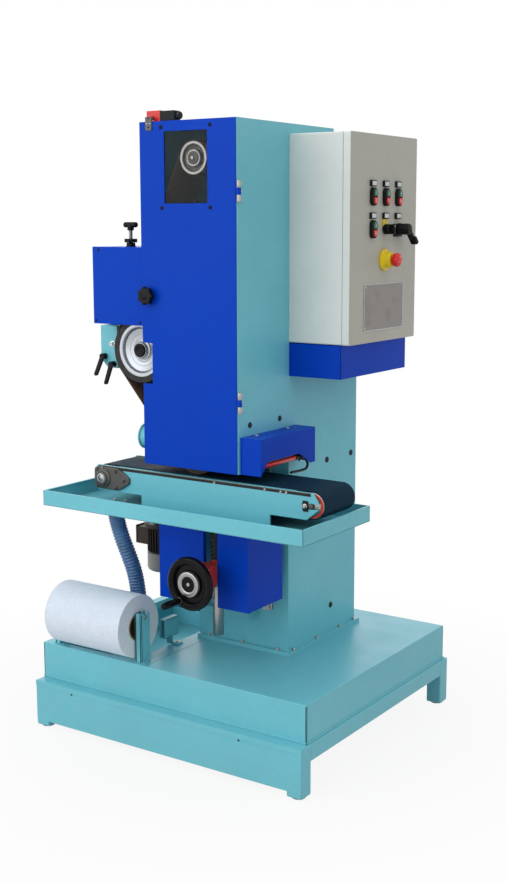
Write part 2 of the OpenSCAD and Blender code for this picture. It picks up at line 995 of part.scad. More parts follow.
module carriage() {
    color(teal) placed() {
        difference() {
            span([carriage_x0, carriage_y0, carriage_z0],
                [carriage_x1, carriage_y0 + carriage_t, tray_z0]);
            span([slit_x0 - slit_lap, carriage_y0 - over, carriage_z0 - over],
                [slit_x1 + slit_lap, carriage_y0 + carriage_t + over, carriage_slot_top]);
        }
        for (x = [carriage_x0, carriage_x1 - tank_wall])
            slab_x(x, x + tank_wall) polygon([
                [carriage_y0 + over, tray_z0],
                [carriage_y0 + over, carriage_z0 + shoe_h],
                [slide_y + gusset_d, tray_z0 - shoe_h],
                [slide_y + gusset_d, tray_z0]
            ]);
    }
    color(steel) placed()
        for (x = rail_sites)
            for (z = [carriage_z0 + shoe_gap, tray_z0 - shoe_h - shoe_gap])
                difference() {
                    span([x - shoe_w / 2, carriage_y0 + carriage_t - over / 2, z],
                        [x + shoe_w / 2, column_front - part_gap * 2, z + shoe_h]);
                    span([x - rail_w / 2 - part_gap, column_front - rail_d - part_gap, z - over],
                        [x + rail_w / 2 + part_gap, column_front + over, z + shoe_h + over]);
                }
}

module slide_guards() {
    color(blue) placed() {
        slide_guard(slide_x0, slit_x0, true);
        slide_guard(slit_x1, slide_x1, false);
    }
}

// one cover sheet with a deep outer side and a narrow lip at the slit
module slide_guard(x0, x1, outer_left) {
    lip = 14;
    outer = outer_left ? x0 : x1 - slide_t;
    inner = outer_left ? x1 - slide_t : x0;
    span([x0, slide_y, slide_z0], [x1, slide_y + slide_t, tray_z0]);
    span([outer, slide_y, slide_z0], [outer + slide_t, carriage_y0 + carriage_t, tray_z0]);
    span([inner, slide_y, slide_z0], [inner + slide_t, slide_y + lip, tray_z0]);
}

// outline of a conveyor side plate, in X and Z
module side_outline() {
    polygon([
        [side_x0, side_z1 - plate_corner],
        [side_x0 + plate_corner, side_z1],
        [side_x1 - plate_corner * 1.4, side_z1],
        [side_x1, side_z1 - plate_corner * 2],
        [side_x1, feed_z + tail_slot / 2],
        [tail_cx - tail_take_up, feed_z + tail_slot / 2],
        [tail_cx - tail_take_up, feed_z - tail_slot / 2],
        [side_x1, feed_z - tail_slot / 2],
        [side_x1 - plate_corner * 3, side_z0],
        [plate_foot_x1, side_z0],
        [plate_foot_x1, tray_z0 + tray_wall],
        [plate_foot_x0, tray_z0 + tray_wall],
        [plate_foot_x0, side_z0],
        [side_x0 + plate_corner, side_z0],
        [side_x0, side_z0 + plate_corner]
    ]);
}

module conveyor_frame() {
    bed_z1 = feed_top - feed_t - slider_gap;
    bed_end = feed_r + 4 * slider_t;
    color(teal) placed() {
        for (y = [side_y0, side_y1])
            difference() {
                slab_y(y, y + side_t) side_outline();
                bar_y([drive_cx, y - over, feed_z], side_t + 2 * over, shaft_r + part_gap);
            }
        span([drive_cx + bed_end, side_y0 + side_t / 2, bed_z1 - slider_t],
            [tail_cx - bed_end, side_y1 + side_t / 2, bed_z1]);
        for (s = tie_sites_share)
            bar_y([drive_cx + feed_len * s, side_y0 + side_t / 2, feed_z - tie_r], side_y1 - side_y0, tie_r);
    }
}

module feed_roller(x, front_stub, back_stub, stub_r) {
    bar_y([x, feed_front - roller_over, feed_z], feed_w + 2 * roller_over, feed_r);
    bar_y([x, feed_front - front_stub, feed_z], feed_w + front_stub + back_stub, stub_r);
}

module drive_roller() {
    color(steel) placed()
        feed_roller(drive_cx, side_gap + side_t + bearing_hub_t - roller_over,
            gear_y0 + gear_socket - feed_back, shaft_r);
}

module tail_roller() {
    color(steel) placed()
        feed_roller(tail_cx, side_gap + side_t + stub_over, side_gap + side_t + stub_over, tail_slot / 2 - run_gap * 2);
    color(red) placed() {
        bar_y([tail_cx, feed_front - roller_over - cap_t, feed_z], cap_t, feed_r - cap_step);
        bar_y([tail_cx, feed_back + roller_over, feed_z], cap_t, feed_r - cap_step);
    }
}

module conveyor_belt() {
    inner = feed_r + feed_gap;
    color([0.1, 0.22, 0.3]) placed() difference() {
        hull() {
            bar_y([drive_cx, feed_front, feed_z], feed_w, inner + feed_t);
            bar_y([tail_cx, feed_front, feed_z], feed_w, inner + feed_t);
        }
        hull() {
            bar_y([drive_cx, feed_front - over, feed_z], feed_w + 2 * over, inner);
            bar_y([tail_cx, feed_front - over, feed_z], feed_w + 2 * over, inner);
        }
    }
}

// flange bearing with its flat base towards y, growing along the given direction
module flange_bearing(y, way) {
    low = way > 0 ? y : y - bearing_t;
    hub_low = way > 0 ? y : y - bearing_hub_t;
    collar_t = (bearing_hub_t + bearing_t) / 2;
    difference() {
        union() {
            slab_y(low, low + bearing_t) translate([drive_cx, feed_z]) polygon([
                [-bearing_r, bearing_r * 0.7],
                [-bearing_r * 0.6, bearing_r],
                [bearing_tip * 0.55, bearing_r],
                [bearing_tip, bearing_r * 0.2],
                [bearing_tip, -bearing_r * 0.2],
                [bearing_tip * 0.55, -bearing_r],
                [-bearing_r * 0.6, -bearing_r],
                [-bearing_r, -bearing_r * 0.7]
            ]);
            bar_y([drive_cx, hub_low, feed_z], bearing_hub_t, bearing_hub_r);
            bar_y([drive_cx, way > 0 ? y : y - collar_t, feed_z], collar_t, bearing_r * 0.9);
        }
        bar_y([drive_cx, hub_low - over, feed_z], bearing_hub_t + 2 * over, shaft_r + run_gap);
        for (dx = [-bearing_r * 0.62, bearing_tip * 0.5, bearing_tip * 0.8])
            for (s = [-1, 1])
                bar_y([drive_cx + dx, low - over, feed_z + s * bearing_r * (dx > bearing_tip * 0.7 ? 0 : 0.72)],
                    bearing_t + 2 * over, bolt_r);
    }
}

module drive_bearings() {
    color(steel) placed() {
        flange_bearing(side_y0, -1);
        flange_bearing(side_y1 + side_t, 1);
    }
}

module conveyor_gearbox() {
    y_neck = side_y1 + side_t + bearing_hub_t;
    color(steel) placed() difference() {
        union() {
            span([drive_cx - gear_w / 2, gear_y0, gear_z0], [drive_cx + gear_w / 2, gear_y0 + gear_d, gear_z1]);
            bar_y([drive_cx, y_neck, feed_z], gear_y0 - y_neck + over, neck2_r);
            bar_z([drive_cx, feed_motor_y, feed_flange_z], gear_z0 - feed_flange_z + over, gear_d / 2);
            bar_z([drive_cx, feed_motor_y, feed_flange_z], feed_flange_t, feed_motor_r + flange_step);
        }
        bar_y([drive_cx, y_neck - over, feed_z], gear_y0 + gear_socket + over * 2 - y_neck, shaft_r + run_gap);
    }
}

module conveyor_motor() {
    color(steel) placed() {
        difference() {
            bar_z([drive_cx, feed_motor_y, feed_motor_fin_z0], feed_motor_fin_z1 - feed_motor_fin_z0,
                feed_motor_r);
            for (i = [0 : motor_fins - 1])
                translate([drive_cx, feed_motor_y, 0])
                    rotate([0, 0, i * 360 / motor_fins])
                        span([feed_motor_r - fin_h, -fin_t, feed_motor_fin_z0 + fin_end],
                            [feed_motor_r + over, fin_t, feed_motor_fin_z1 - fin_end]);
        }
        span([drive_cx - feed_motor_r - box_w + box_lap, feed_motor_y - box_d / 2, feed_motor_fin_z0 + box_rise],
            [drive_cx - feed_motor_r / 2, feed_motor_y + box_d / 2,
                feed_motor_fin_z0 + box_rise + box_h - fin_end]);
    }
    color(warm_grey) placed()
        bar_z([drive_cx, feed_motor_y, feed_motor_z0], feed_motor_fin_z0 - feed_motor_z0 + over,
            feed_motor_r);
}

// the hose's centre line: a smooth curve through the route's points
function route_point(t) =
    let (n = len(hose_route) - 1,
        i = min(n - 1, floor(t)),
        u = t - i,
        a = hose_route[max(0, i - 1)],
        b = hose_route[i],
        c = hose_route[i + 1],
        d = hose_route[min(n, i + 2)])
    0.5 * ((2 * b) + (c - a) * u + (2 * a - 5 * b + 4 * c - d) * u * u
        + (3 * b - a - 3 * c + d) * u * u * u);

function route_way(t) =
    let (n = len(hose_route) - 1,
        v = route_point(min(n, t + 0.05)) - route_point(max(0, t - 0.05)))
    v / norm(v);

// a ring of points around the centre line
function hose_ring(t, r) =
    let (w = route_way(t),
        s = cross(w, [0, 1, 0]) / norm(cross(w, [0, 1, 0])),
        q = cross(w, s))
    [for (k = [0 : hose_sides - 1])
        route_point(t) + r * (s * cos(k * 360 / hose_sides) + q * sin(k * 360 / hose_sides))];

module drain_hose() {
    n = hose_sides;
    rings = 2 * hose_ribs + 1;
    last = len(hose_route) - 1;
    valley = hose_r - rib_step;
    outside = [for (i = [0 : rings - 1]) each
        hose_ring(last * i / (rings - 1), i % 2 == 0 ? valley : hose_r)];
    inside = [for (i = [0 : rings - 1]) each hose_ring(last * i / (rings - 1), hose_bore)];
    base = rings * n;
    walls = [for (i = [0 : rings - 2]) for (k = [0 : n - 1])
        let (a = i * n + k, b = i * n + (k + 1) % n, c = a + n, d = b + n)
        each [[a, b, d], [a, d, c], [base + a, base + d, base + b], [base + a, base + c, base + d]]];
    ends = [for (k = [0 : n - 1])
        let (a = k, b = (k + 1) % n, e = (rings - 1) * n)
        each [[b, a, base + a], [b, base + a, base + b],
            [e + a, e + b, base + e + b], [e + a, base + e + b, base + e + a]]];
    color([0.27, 0.43, 0.59]) placed()
        polyhedron(points = concat(outside, inside), faces = concat(walls, ends));
}

module roll_brackets() {
    color(teal) placed() {
        roll_arm(roll_x1 + roll_gap);
        roll_arm(roll_x0 - roll_gap - arm_w);
        difference() {
            span([box_x0, box_y0, box_z0], [box_x1, box_y1, box_z1]);
            span([box_x0 + arm_t / 2, box_y0 - over, box_z0 + arm_t / 2],
                [box_x1 - arm_t / 2, box_y1 + over, box_z1 - arm_t / 2]);
        }
        span([box_x0, (box_y0 + box_y1) / 2, deck_z], [box_x1, (box_y0 + box_y1) / 2 + arm_t, box_z0 + over]);
        span([box_x1 - arm_t, (box_y0 + box_y1) / 2, deck_z],
            [box_x1 + arm_w, (box_y0 + box_y1) / 2 + arm_w, deck_z + arm_t]);
    }
    color(steel) placed()
        bar_x([roll_x0 - roll_gap - arm_w, rod_y, rod_z], roll_x1 - roll_x0 + 2 * roll_gap + 2 * arm_w,
            spindle_rod_r);
}

// one slotted arm of folded plate; the spindle lies in the slot
module roll_arm(x) {
    y0 = rod_y - arm_d / 2;
    difference() {
        span([x, y0, deck_z], [x + arm_w, y0 + arm_d, deck_z + arm_h]);
        span([x + arm_t, y0 + arm_t, deck_z + arm_t], [x + arm_w - arm_t, y0 + arm_d + over, deck_z + arm_h + over]);
        span([x - over, rod_y - spindle_rod_r, rod_z],
            [x + arm_w + over, rod_y + spindle_rod_r, deck_z + arm_h + over]);
        bar_x([x - over, rod_y, rod_z], arm_w + 2 * over, spindle_rod_r);
    }
}

module paper_roll() {
    core_wall = 5;
    color(white) placed() difference() {
        bar_x([roll_x0, roll_y, roll_z], roll_len, roll_r);
        bar_x([roll_x0 - over, roll_y, roll_z], roll_len + 2 * over, core_r);
        ring_cut_x(roll_x0 - over, core_r + core_wall);
        ring_cut_x(roll_x1 - 2 * over, core_r + core_wall);
    }
}

// the shallow groove between core and paper at a roll end
module ring_cut_x(x, r) {
    difference() {
        bar_x([x, roll_y, roll_z], 3 * over, r + over);
        bar_x([x - over, roll_y, roll_z], 5 * over, r);
    }
}

module front_door() {
    color(blue) placed() {
        difference() {
            span([0, 0, head_z], [door_x1, door_t, head_top]);
            span([-over, -over, head_z + notch_rise], [notch_w, door_t + over, head_z + notch_rise + notch_h]);
            span([window_left, -over, window_z0], [window_left + window_w, door_t + over, window_z1]);
            bar_y([star_x, -over, star_z], door_t + 2 * over, star_stem + run_gap);
        }
        for (z = hinge_sites)
            difference() {
                union() {
                    span([door_x1 - over, 0, z + hinge_h / 3 + knuckle_gap],
                        [hinge_x, door_t, z + hinge_h * 2 / 3 - knuckle_gap]);
                    bar_z([hinge_x, hinge_y, z + hinge_h / 3 + knuckle_gap],
                        hinge_h / 3 - 2 * knuckle_gap, knuckle_r);
                }
                bar_z([hinge_x, hinge_y, z - over], hinge_h + 2 * over, pin_r + run_gap);
            }
    }
}

module window_pane() {
    y0 = door_t;
    color([0.75, 0.82, 0.85]) placed()
        span([window_left - pane_lap, y0, window_z0 - pane_lap],
            [window_left + window_w + pane_lap, y0 + pane_t, window_z1 + pane_lap]);
}

module door_hinges() {
    color(steel) placed()
        for (z = hinge_sites) {
            for (s = [0, 2])
                difference() {
                    union() {
                        bar_z([hinge_x, hinge_y, z + s * hinge_h / 3], hinge_h / 3, knuckle_r);
                        span([column_w, hinge_y, z + s * hinge_h / 3],
                            [column_w + leaf_t, hinge_y + knuckle_r, z + (s + 1) * hinge_h / 3]);
                    }
                    bar_z([hinge_x, hinge_y, z - over], hinge_h + 2 * over, pin_r);
                }
            span([column_w, hinge_y + knuckle_r, z], [column_w + leaf_t, leaf_d, z + hinge_h]);
        }
}

module hinge_pins() {
    color(steel) placed()
        for (z = hinge_sites)
            bar_z([hinge_x, hinge_y, z], hinge_h, pin_r);
}

module door_knob() {
    lobes = 6;
    color(black) placed() {
        difference() {
            bar_y([star_x, -star_d - star_stem, star_z], star_d, star_r);
            for (i = [0 : lobes - 1])
                translate([star_x, 0, star_z])
                    rotate([0, i * 360 / lobes, 0])
                        bar_y([star_r * 1.22, -star_d - star_stem - over, 0], star_d + 2 * over, star_r * 0.42);
        }
        bar_y([star_x, -star_stem - over, star_z], star_stem + over + door_t + part_gap, star_stem);
        bar_y([star_x, door_t + part_gap, star_z], star_nut_t, star_stem * 1.5);
        bar_y([star_x, -star_stem, star_z], star_stem - part_gap, star_stem * 1.6);
    }
}

module door_key() {
    key_z1 = head_top + key_over;
    color(steel) placed() {
        span([key_x, -key_t, key_z1 - key_h], [key_x + key_w, 0, key_z1]);
        span([key_x + (key_w - tongue_w) / 2, -key_t, key_z1 - tongue_t * 2],
            [key_x + (key_w + tongue_w) / 2, tongue_len, key_z1 - tongue_t]);
    }
}

module interlock_switch() {
    key_z1 = head_top + key_over;
    slot_mid = key_x + key_w / 2;
    color(red) placed() difference() {
        span([switch_x, switch_y, head_top], [switch_x + switch_w, switch_y + switch_d, head_top + switch_h]);
        span([slot_mid - tongue_w / 2 - switch_gap, switch_y - over, key_z1 - 2 * tongue_t - switch_gap],
            [slot_mid + tongue_w / 2 + switch_gap, tongue_len + switch_gap, key_z1 - tongue_t + switch_gap]);
    }
    color(black) placed() {
        span([switch_x + switch_w - over, switch_y, head_top],
            [switch_x + switch_w + switch_body_w, switch_y + switch_d, head_top + switch_h * 0.95]);
        bar_x([switch_x + switch_w + switch_body_w - over, switch_y + switch_d / 2, head_top + switch_h / 2],
            switch_gland_w + over, switch_h / 3);
    }
}

module side_guard() {
    color(blue) placed() {
        difference() {
            union() {
                slab_y(guard_y0, guard_y1) guard_outline(0);
                span([-lip_d, lip_y0, guard_z1 - guard_t / 2], [0, lip_y1, guard_z1 + lip_h]);
            }
            slab_y(guard_y0 + guard_t, guard_y1 - guard_t) guard_outline(guard_t);
            span([guard_t - lip_d, lip_y0 + guard_t, guard_z1 - guard_t - over],
                [over, lip_y1 - guard_t, guard_z1 + lip_h - guard_t]);
            bar_z([adjust_x, adjust_y, guard_z1 - guard_t - over], guard_t + 2 * over,
                spindle_r + run_gap);
        }
    }
    color(black) placed() difference() {
        bar_z([adjust_x, adjust_y, guard_z1], neck_h, neck_r);
        bar_z([adjust_x, adjust_y, guard_z1 - over], neck_h + 2 * over, spindle_r + run_gap);
    }
}

// outline of the side guard, in X and Z, open to the right and below
module guard_outline(margin) {
    left = -guard_w;
    polygon([
        [margin == 0 ? 0 : over, guard_z0 - (margin == 0 ? 0 : over)],
        [left + margin, guard_z0 - (margin == 0 ? 0 : over)],
        [left + margin, guard_z1 - guard_slope - margin],
        [left + guard_slope + margin / 2, guard_z1 - margin],
        [margin == 0 ? 0 : over, guard_z1 - margin]
    ]);
}

module wheel_bracket() {
    left = -wheel_x - plate_left;
    color(teal) placed() {
        slab_y(plate_y, plate_y + plate_t) polygon([
            [left, plate_z1],
            [left, plate_z0 + ear_cut],
            [left + ear_cut, plate_z0],
            [wheel_x, plate_z0],
            [wheel_x, plate_z1]
        ]);
        difference() {
            slab_y(ear_y, plate_y + over) polygon([
                [left, plate_z1],
                [left, plate_z0 + ear_cut],
                [left + ear_cut, plate_z0],
                [left + ear_w, plate_z0],
                [left + ear_w, plate_z1]
            ]);
            span([left + tank_wall, ear_y + tank_wall, plate_z0 + ear_cut],
                [left + ear_w - tank_wall, plate_y, plate_z1 + over]);
        }
        span([-block_w, plate_y + plate_t - over, plate_z0], [0, column_front - foot_lip, plate_z1]);
    }
    color(steel) placed() {
        bar_y([-wheel_x, roller_front - axle_lead, wheel_z], plate_y - roller_front + axle_lead + over, axle_r);
        for (p = lever_sites)
            bar_y([p[0], ear_y - lever_r * 1.8, p[1]], lever_r * 1.8 + over, stud_r);
    }
}

module adjust_knob() {
    color(black) placed() {
        bar_z([adjust_x, adjust_y, guard_z1 - spindle_dip], tknob_z - guard_z1 + spindle_dip, spindle_r);
        span([adjust_x - tknob_w / 2, adjust_y - tknob_d / 2, tknob_z - tknob_h / 2],
            [adjust_x + tknob_w / 2, adjust_y + tknob_d / 2, tknob_z + tknob_h / 2]);
        bar_z([adjust_x, adjust_y, tknob_z - tknob_h], tknob_h, tknob_d * 0.55);
    }
}

module lock_knob() {
    color(black) placed() difference() {
        bar_z([adjust_x, adjust_y, lock_z], lock_h, lock_r);
        bar_z([adjust_x, adjust_y, lock_z - over], lock_h + 2 * over, spindle_r + run_gap);
        for (i = [0 : lock_notches - 1])
            translate([adjust_x, adjust_y, 0])
                rotate([0, 0, i * 360 / lock_notches])
                    bar_z([lock_r + notch_out, 0, lock_z - over], lock_h + 2 * over, notch_r);
    }
}

// a clamp lever on the bracket's ear, pointing along an angle in X and Z
module clamp_lever(x, z, angle) {
    y1 = ear_y - part_gap;
    color(black) placed() difference() {
        union() {
            bar_y([x, y1 - lever_r * 2, z], lever_r * 2, lever_r);
            translate([x, 0, z])
                rotate([0, -angle, 0])
                    hull() {
                        bar_y([lever_r / 2, y1 - lever_r * 2, 0], lever_t, lever_r * 0.7, $fn = 24);
                        bar_y([lever_len, y1 - lever_r * 2.4, 0], lever_t, lever_r * 0.6, $fn = 24);
                    }
        }
        bar_y([x, y1 - lever_r * 1.9, z], lever_r * 2, stud_r + run_gap);
    }
}

module clamp_lever_1() {
    clamp_lever(lever_sites[0][0], lever_sites[0][1], lever_angles[0]);
}

module clamp_lever_2() {
    clamp_lever(lever_sites[1][0], lever_sites[1][1], lever_angles[1]);
}

module side_wheel() {
    color(steel) placed() difference() {
        union() {
            ring_y([-wheel_x, roller_front, wheel_z], belt_w, wheel_r - tyre_t, wheel_r - tyre_t - web_t);
            bar_y([-wheel_x, roller_front + web_t, wheel_z], web_t, wheel_r - tyre_t - web_t / 2);
            bar_y([-wheel_x, roller_back - web_t * 2, wheel_z], web_t, wheel_r - tyre_t - web_t / 2);
            bar_y([-wheel_x, roller_front + part_gap, wheel_z], belt_w, hub_r);
        }
        bar_y([-wheel_x, roller_front - over, wheel_z], belt_w + 2 * over, axle_r + run_gap);
        for (i = [0 : spoke_holes - 1])
            translate([-wheel_x, 0, wheel_z])
                rotate([0, i * 360 / spoke_holes, 0])
                    bar_y([(wheel_r - tyre_t) * spoke_ring_share, roller_front - over, 0],
                        belt_w + 2 * over, spoke_hole_r * 0.7);
    }
}

module side_wheel_tyre() {
    color(black) placed()
        ring_y([-wheel_x, roller_front, wheel_z], belt_w, wheel_r, wheel_r - tyre_t);
}

module upper_pulley() {
    color(steel) placed() difference() {
        union() {
            ring_y([roller_x, roller_front, pulley_z], belt_w, pulley_r, pulley_r - web_t);
            bar_y([roller_x, roller_front + web_t, pulley_z], belt_w - 2 * web_t, pulley_r - web_t / 2);
            bar_y([roller_x, roller_front + part_gap, pulley_z], belt_w, hub_r);
        }
        bar_y([roller_x, roller_front - over, pulley_z], belt_w + 2 * over, axle_r + run_gap);
    }
}

module contact_roller() {
    color(black) placed()
        ring_y([roller_x, roller_front, contact_z], belt_w, contact_r, contact_r - web_t);
    color(steel) placed() {
        bar_y([roller_x, roller_front, contact_z], belt_w, contact_r - web_t);
        bar_y([roller_x, roller_front - hub_lead, contact_z], belt_w + 2 * hub_lead, hub_r);
        bar_y([roller_x, roller_front, contact_z],
            column_front + column_sheet + shaft_depth - roller_front, axle_r);
    }
}

// the belt loop around the three rollers, at a distance from them
module belt_hull(grow, y0, y1) {
    hull() {
        bar_y([-wheel_x, y0, wheel_z], y1 - y0, wheel_r + grow);
        bar_y([roller_x, y0, pulley_z], y1 - y0, pulley_r + grow);
        bar_y([roller_x, y0, contact_z], y1 - y0, contact_r + grow);
    }
}

module abrasive_belt() {
    color(brown) placed() difference() {
        belt_hull(belt_gap + belt_t, roller_front + over, roller_back - over);
        belt_hull(belt_gap, roller_front, roller_back);
    }
}

module grinding_motor() {
    y0 = column_front + column_sheet;
    color(warm_grey) placed() difference() {
        union() {
            bar_y([roller_x, y0, contact_z], motor_flange_t, motor_flange_r);
            bar_y([roller_x, y0, contact_z], motor_len, motor_r);
            span([roller_x - box_d / 2, y0 + motor_len / 3, contact_z + motor_r / 2],
                [roller_x + box_d / 2, y0 + motor_len * 2 / 3, contact_z + motor_r + box_w / 2]);
        }
        bar_y([roller_x, y0 - over, contact_z], shaft_depth + 2 * over, axle_r + run_gap);
    }
}

module exit_hood() {
    x1 = column_w + hood_w;
    y1 = hood_y + hood_d;
    color(blue) placed() {
        difference() {
            span([column_w, hood_y, head_z], [x1, y1, hood_z1]);
            span([column_w - over, hood_y + hood_t, head_z - over], [x1 - hood_t, y1 - hood_t, hood_z1 - hood_t]);
            slab_x(x1 - hood_t - over, x1 + over) polygon([
                [hood_y + hood_t, head_z - over],
                [hood_y + hood_rise, head_z + hood_rise],
                [hood_y + hood_d * 0.7, head_z + hood_rise],
                [hood_y + hood_d * 0.9, head_z + hood_t],
                [hood_y + hood_d * 0.9, head_z - over]
            ]);
        }
    }
    color(black) placed() {
        span([trip_x - trip_box_w / 2, trip_pin_y - trip_box_d / 2, trip_z + trip_lug_h / 2 + part_gap],
            [column_w + hood_w - hood_t / 2, trip_pin_y + trip_box_d / 2, hood_z1 - hood_t / 2]);
        bar_z([trip_x, trip_pin_y, trip_z - trip_lug_h / 2 - pin_over], trip_lug_h + 2 * pin_over, trip_pin_r);
        bar_z([trip_x, trip_pin_y, trip_z - trip_lug_h / 2 - 2 * pin_over], 2 * pin_over - part_gap,
            trip_pin_r * 1.6);
    }
}

module trip_bar() {
    far = trip_pin_y + trip_hook * 0.6;
    low = trip_z - trip_drop;
    color(red) placed()
        bar_y([trip_x, trip_y0, trip_z], trip_len, trip_r);
    color(black) placed() difference() {
        union() {
            bar_y([trip_x, trip_y0 + trip_len, trip_z], trip_pin_y - trip_y0 - trip_len, trip_r * 1.15);
            bar_z([trip_x, trip_pin_y, trip_z - trip_lug_h / 2], trip_lug_h, trip_lug_r);
            slab_x(trip_x - trip_hook_r, trip_x + trip_hook_r) polygon([
                [trip_pin_y + trip_lug_r * 0.7, trip_z + trip_hook_r],
                [trip_pin_y + trip_lug_r * 1.3, trip_z + trip_hook_r],
                [far + trip_hook_r, low + trip_drop * 0.45],
                [far + trip_hook_r, low + trip_drop * 0.25],
                [far - trip_lug_r, low - trip_hook_r],
                [trip_pin_y - trip_hook * 0.7, low],
                [trip_pin_y - trip_hook * 0.7, low + 2 * trip_hook_r],
                [far - trip_lug_r * 1.6, low + trip_hook_r],
                [far - trip_hook_r, low + trip_drop * 0.3],
                [far - trip_hook_r, low + trip_drop * 0.4],
                [trip_pin_y + trip_lug_r * 0.7, trip_z - trip_hook_r]
            ]);
        }
        bar_z([trip_x, trip_pin_y, trip_z - trip_lug_h], trip_lug_h * 2, trip_pin_r + run_gap);
    }
}

module cabinet_body() {
    color(warm_grey) placed() {
        difference() {
            span([cabinet_x0, cabinet_y0, cabinet_z0], [lid_x0, cabinet_y1, cabinet_z1]);
            span([cabinet_x0 + cabinet_t, cabinet_y0 + cabinet_t, cabinet_z0 + cabinet_t],
                [lid_x0 + over, cabinet_y1 - cabinet_t, cabinet_z1 - cabinet_t]);
        }
        for (z = lid_hinge_sites) {
            for (s = [0, 2])
                bar_z([lid_hinge_x, lid_hinge_y, z + s * lid_hinge_h / 3], lid_hinge_h / 3, knuckle_r);
            for (s = [0, 2])
                span([lid_x0 - lid_leaf, cabinet_y1 - over, z + s * lid_hinge_h / 3],
                    [lid_hinge_x, cabinet_y1 + leaf_t, z + (s + 1) * lid_hinge_h / 3]);
            bar_z([lid_hinge_x, lid_hinge_y, z], lid_hinge_h, pin_r);
        }
    }
}

module cabinet_door() {
    color(warm_grey) placed() {
        difference() {
            span([lid_x0 + seam, cabinet_y0, cabinet_z0], [cabinet_x1, cabinet_y1, cabinet_z1]);
            span([lid_x0 + seam - over, cabinet_y0 + cabinet_t, cabinet_z0 + cabinet_t],
                [cabinet_x1 - cabinet_t, cabinet_y1 - cabinet_t, cabinet_z1 - cabinet_t]);
        }
        for (z = lid_hinge_sites)
            difference() {
                union() {
                    bar_z([lid_hinge_x, lid_hinge_y, z + lid_hinge_h / 3 + knuckle_gap],
                        lid_hinge_h / 3 - 2 * knuckle_gap, knuckle_r);
                    span([lid_hinge_x, cabinet_y1 - over, z + lid_hinge_h / 3 + knuckle_gap],
                        [cabinet_x1 - leaf_t, cabinet_y1 + leaf_t, z + lid_hinge_h * 2 / 3 - knuckle_gap]);
                }
                bar_z([lid_hinge_x, lid_hinge_y, z - over], lid_hinge_h + 2 * over, pin_r + run_gap);
            }
    }
}

module cabinet_bracket() {
    color(blue) placed() difference() {
        span([column_w, cabinet_y0, cabinet_z0 - bracket_h], [column_w + bracket_w, cabinet_y1 - bracket_end, cabinet_z0]);
        span([column_w - over, cabinet_y0 + leaf_t, cabinet_z0 - bracket_h - over],
            [column_w + bracket_w - leaf_t, cabinet_y1 - bracket_end - leaf_t, cabinet_z0 - leaf_t]);
    }
}

module button_bezels() {
    x = cabinet_x1;
    color(black) placed() {
        for (p = double_sites)
            difference() {
                slab_x(x, x + bezel_d) translate(p) union() {
                    for (s = [-1, 1])
                        translate([0, s * (button_h - button_w) / 2])
                            circle(r = button_w / 2);
                    square([button_w, button_h - button_w], center = true);
                }
                for (s = [-1, 1])
                    slab_x(x + bezel_floor, x + bezel_d + over) translate(p) cap_outline(s, button_gap);
            }
        for (i = [-1, 0, 1])
            for (z = [label1_z, label2_z])
                span([x, control_y + i * control_pitch - label_w / 2, z - label_h / 2],
                    [x + label_t, control_y + i * control_pitch + label_w / 2, z + label_h / 2]);
        difference() {
            span([x, control_y + control_pitch - plate_side / 2, row2_z - plate_side / 2],
                [x + label_t, control_y + control_pitch + plate_side / 2, row2_z + plate_side / 2 - plate_trim]);
            bar_x([x + bezel_floor, control_y + control_pitch, row2_z], label_t, stem_r + run_gap);
        }
    }
}

module yellow_collars() {
    x = cabinet_x1;
    color(yellow) placed() {
        difference() {
            union() {
                bar_x([x, control_y, estop_z], label_t, collar_r);
                bar_x([x, control_y, estop_z], collar_h, collar_r * 0.7);
            }
            bar_x([x + bezel_floor, control_y, estop_z], collar_h, stem_r + run_gap);
        }
        difference() {
            span([x, control_y - label_w / 2, row2_z - label_w / 2],
                [x + yellow_t, control_y + label_w / 2, row2_z + label_w]);
            bar_x([x + over, control_y, row2_z], label_t, stem_r + run_gap);
        }
    }
}

// outline of a cap in Y and Z: round outside, straight along the split of the bezel
module cap_outline(half, grow) {
    r = cap_w / 2 + grow;
    a = (button_h - button_w) / 2;
    y_low = half > 0 ? cap_split - grow : -a;
    translate([0, half * a])
        circle(r = r);
    translate([-r, y_low])
        square([2 * r, a - cap_split + grow]);
}

// a push-button cap in the upper or lower half of a double bezel
module cap(site, half, paint) {
    x = cabinet_x1 + bezel_floor + button_travel + button_gap;
    color(paint) placed()
        slab_x(x, cabinet_x1 + bezel_d + cap_rise) translate(site) cap_outline(half, 0);
}

module selector_knob() {
    x = cabinet_x1 + yellow_t + part_gap;
    color(black) placed() {
        bar_x([cabinet_x1 + bezel_floor, control_y, row2_z], part_gap + yellow_t, stem_r);
        bar_x([x, control_y, row2_z], selector_h * 0.5, selector_r);
        span([x, control_y - selector_r * 0.3, row2_z - selector_r],
            [x + selector_h - yellow_t, control_y + selector_r * 0.3, row2_z + selector_r]);
    }
}

module isolator_handle() {
    x = cabinet_x1 + label_t + part_gap;
    y = control_y + control_pitch;
    color(black) placed() {
        bar_x([cabinet_x1 + stem_lift, y, row2_z], label_t, stem_r);
        bar_x([x, y, row2_z], handle_rise, handle_hub_r);
        translate([x, y, row2_z])
            rotate([45, 0, 0]) {
                span([handle_rise * 0.55, -handle_w / 2, -handle_len], [handle_rise, handle_w / 2, 0]);
                span([handle_rise * 0.55, -handle_w / 2, -handle_len],
                    [handle_rise + handle_w / 2, handle_w / 2, -handle_len * 0.55]);
            }
    }
}

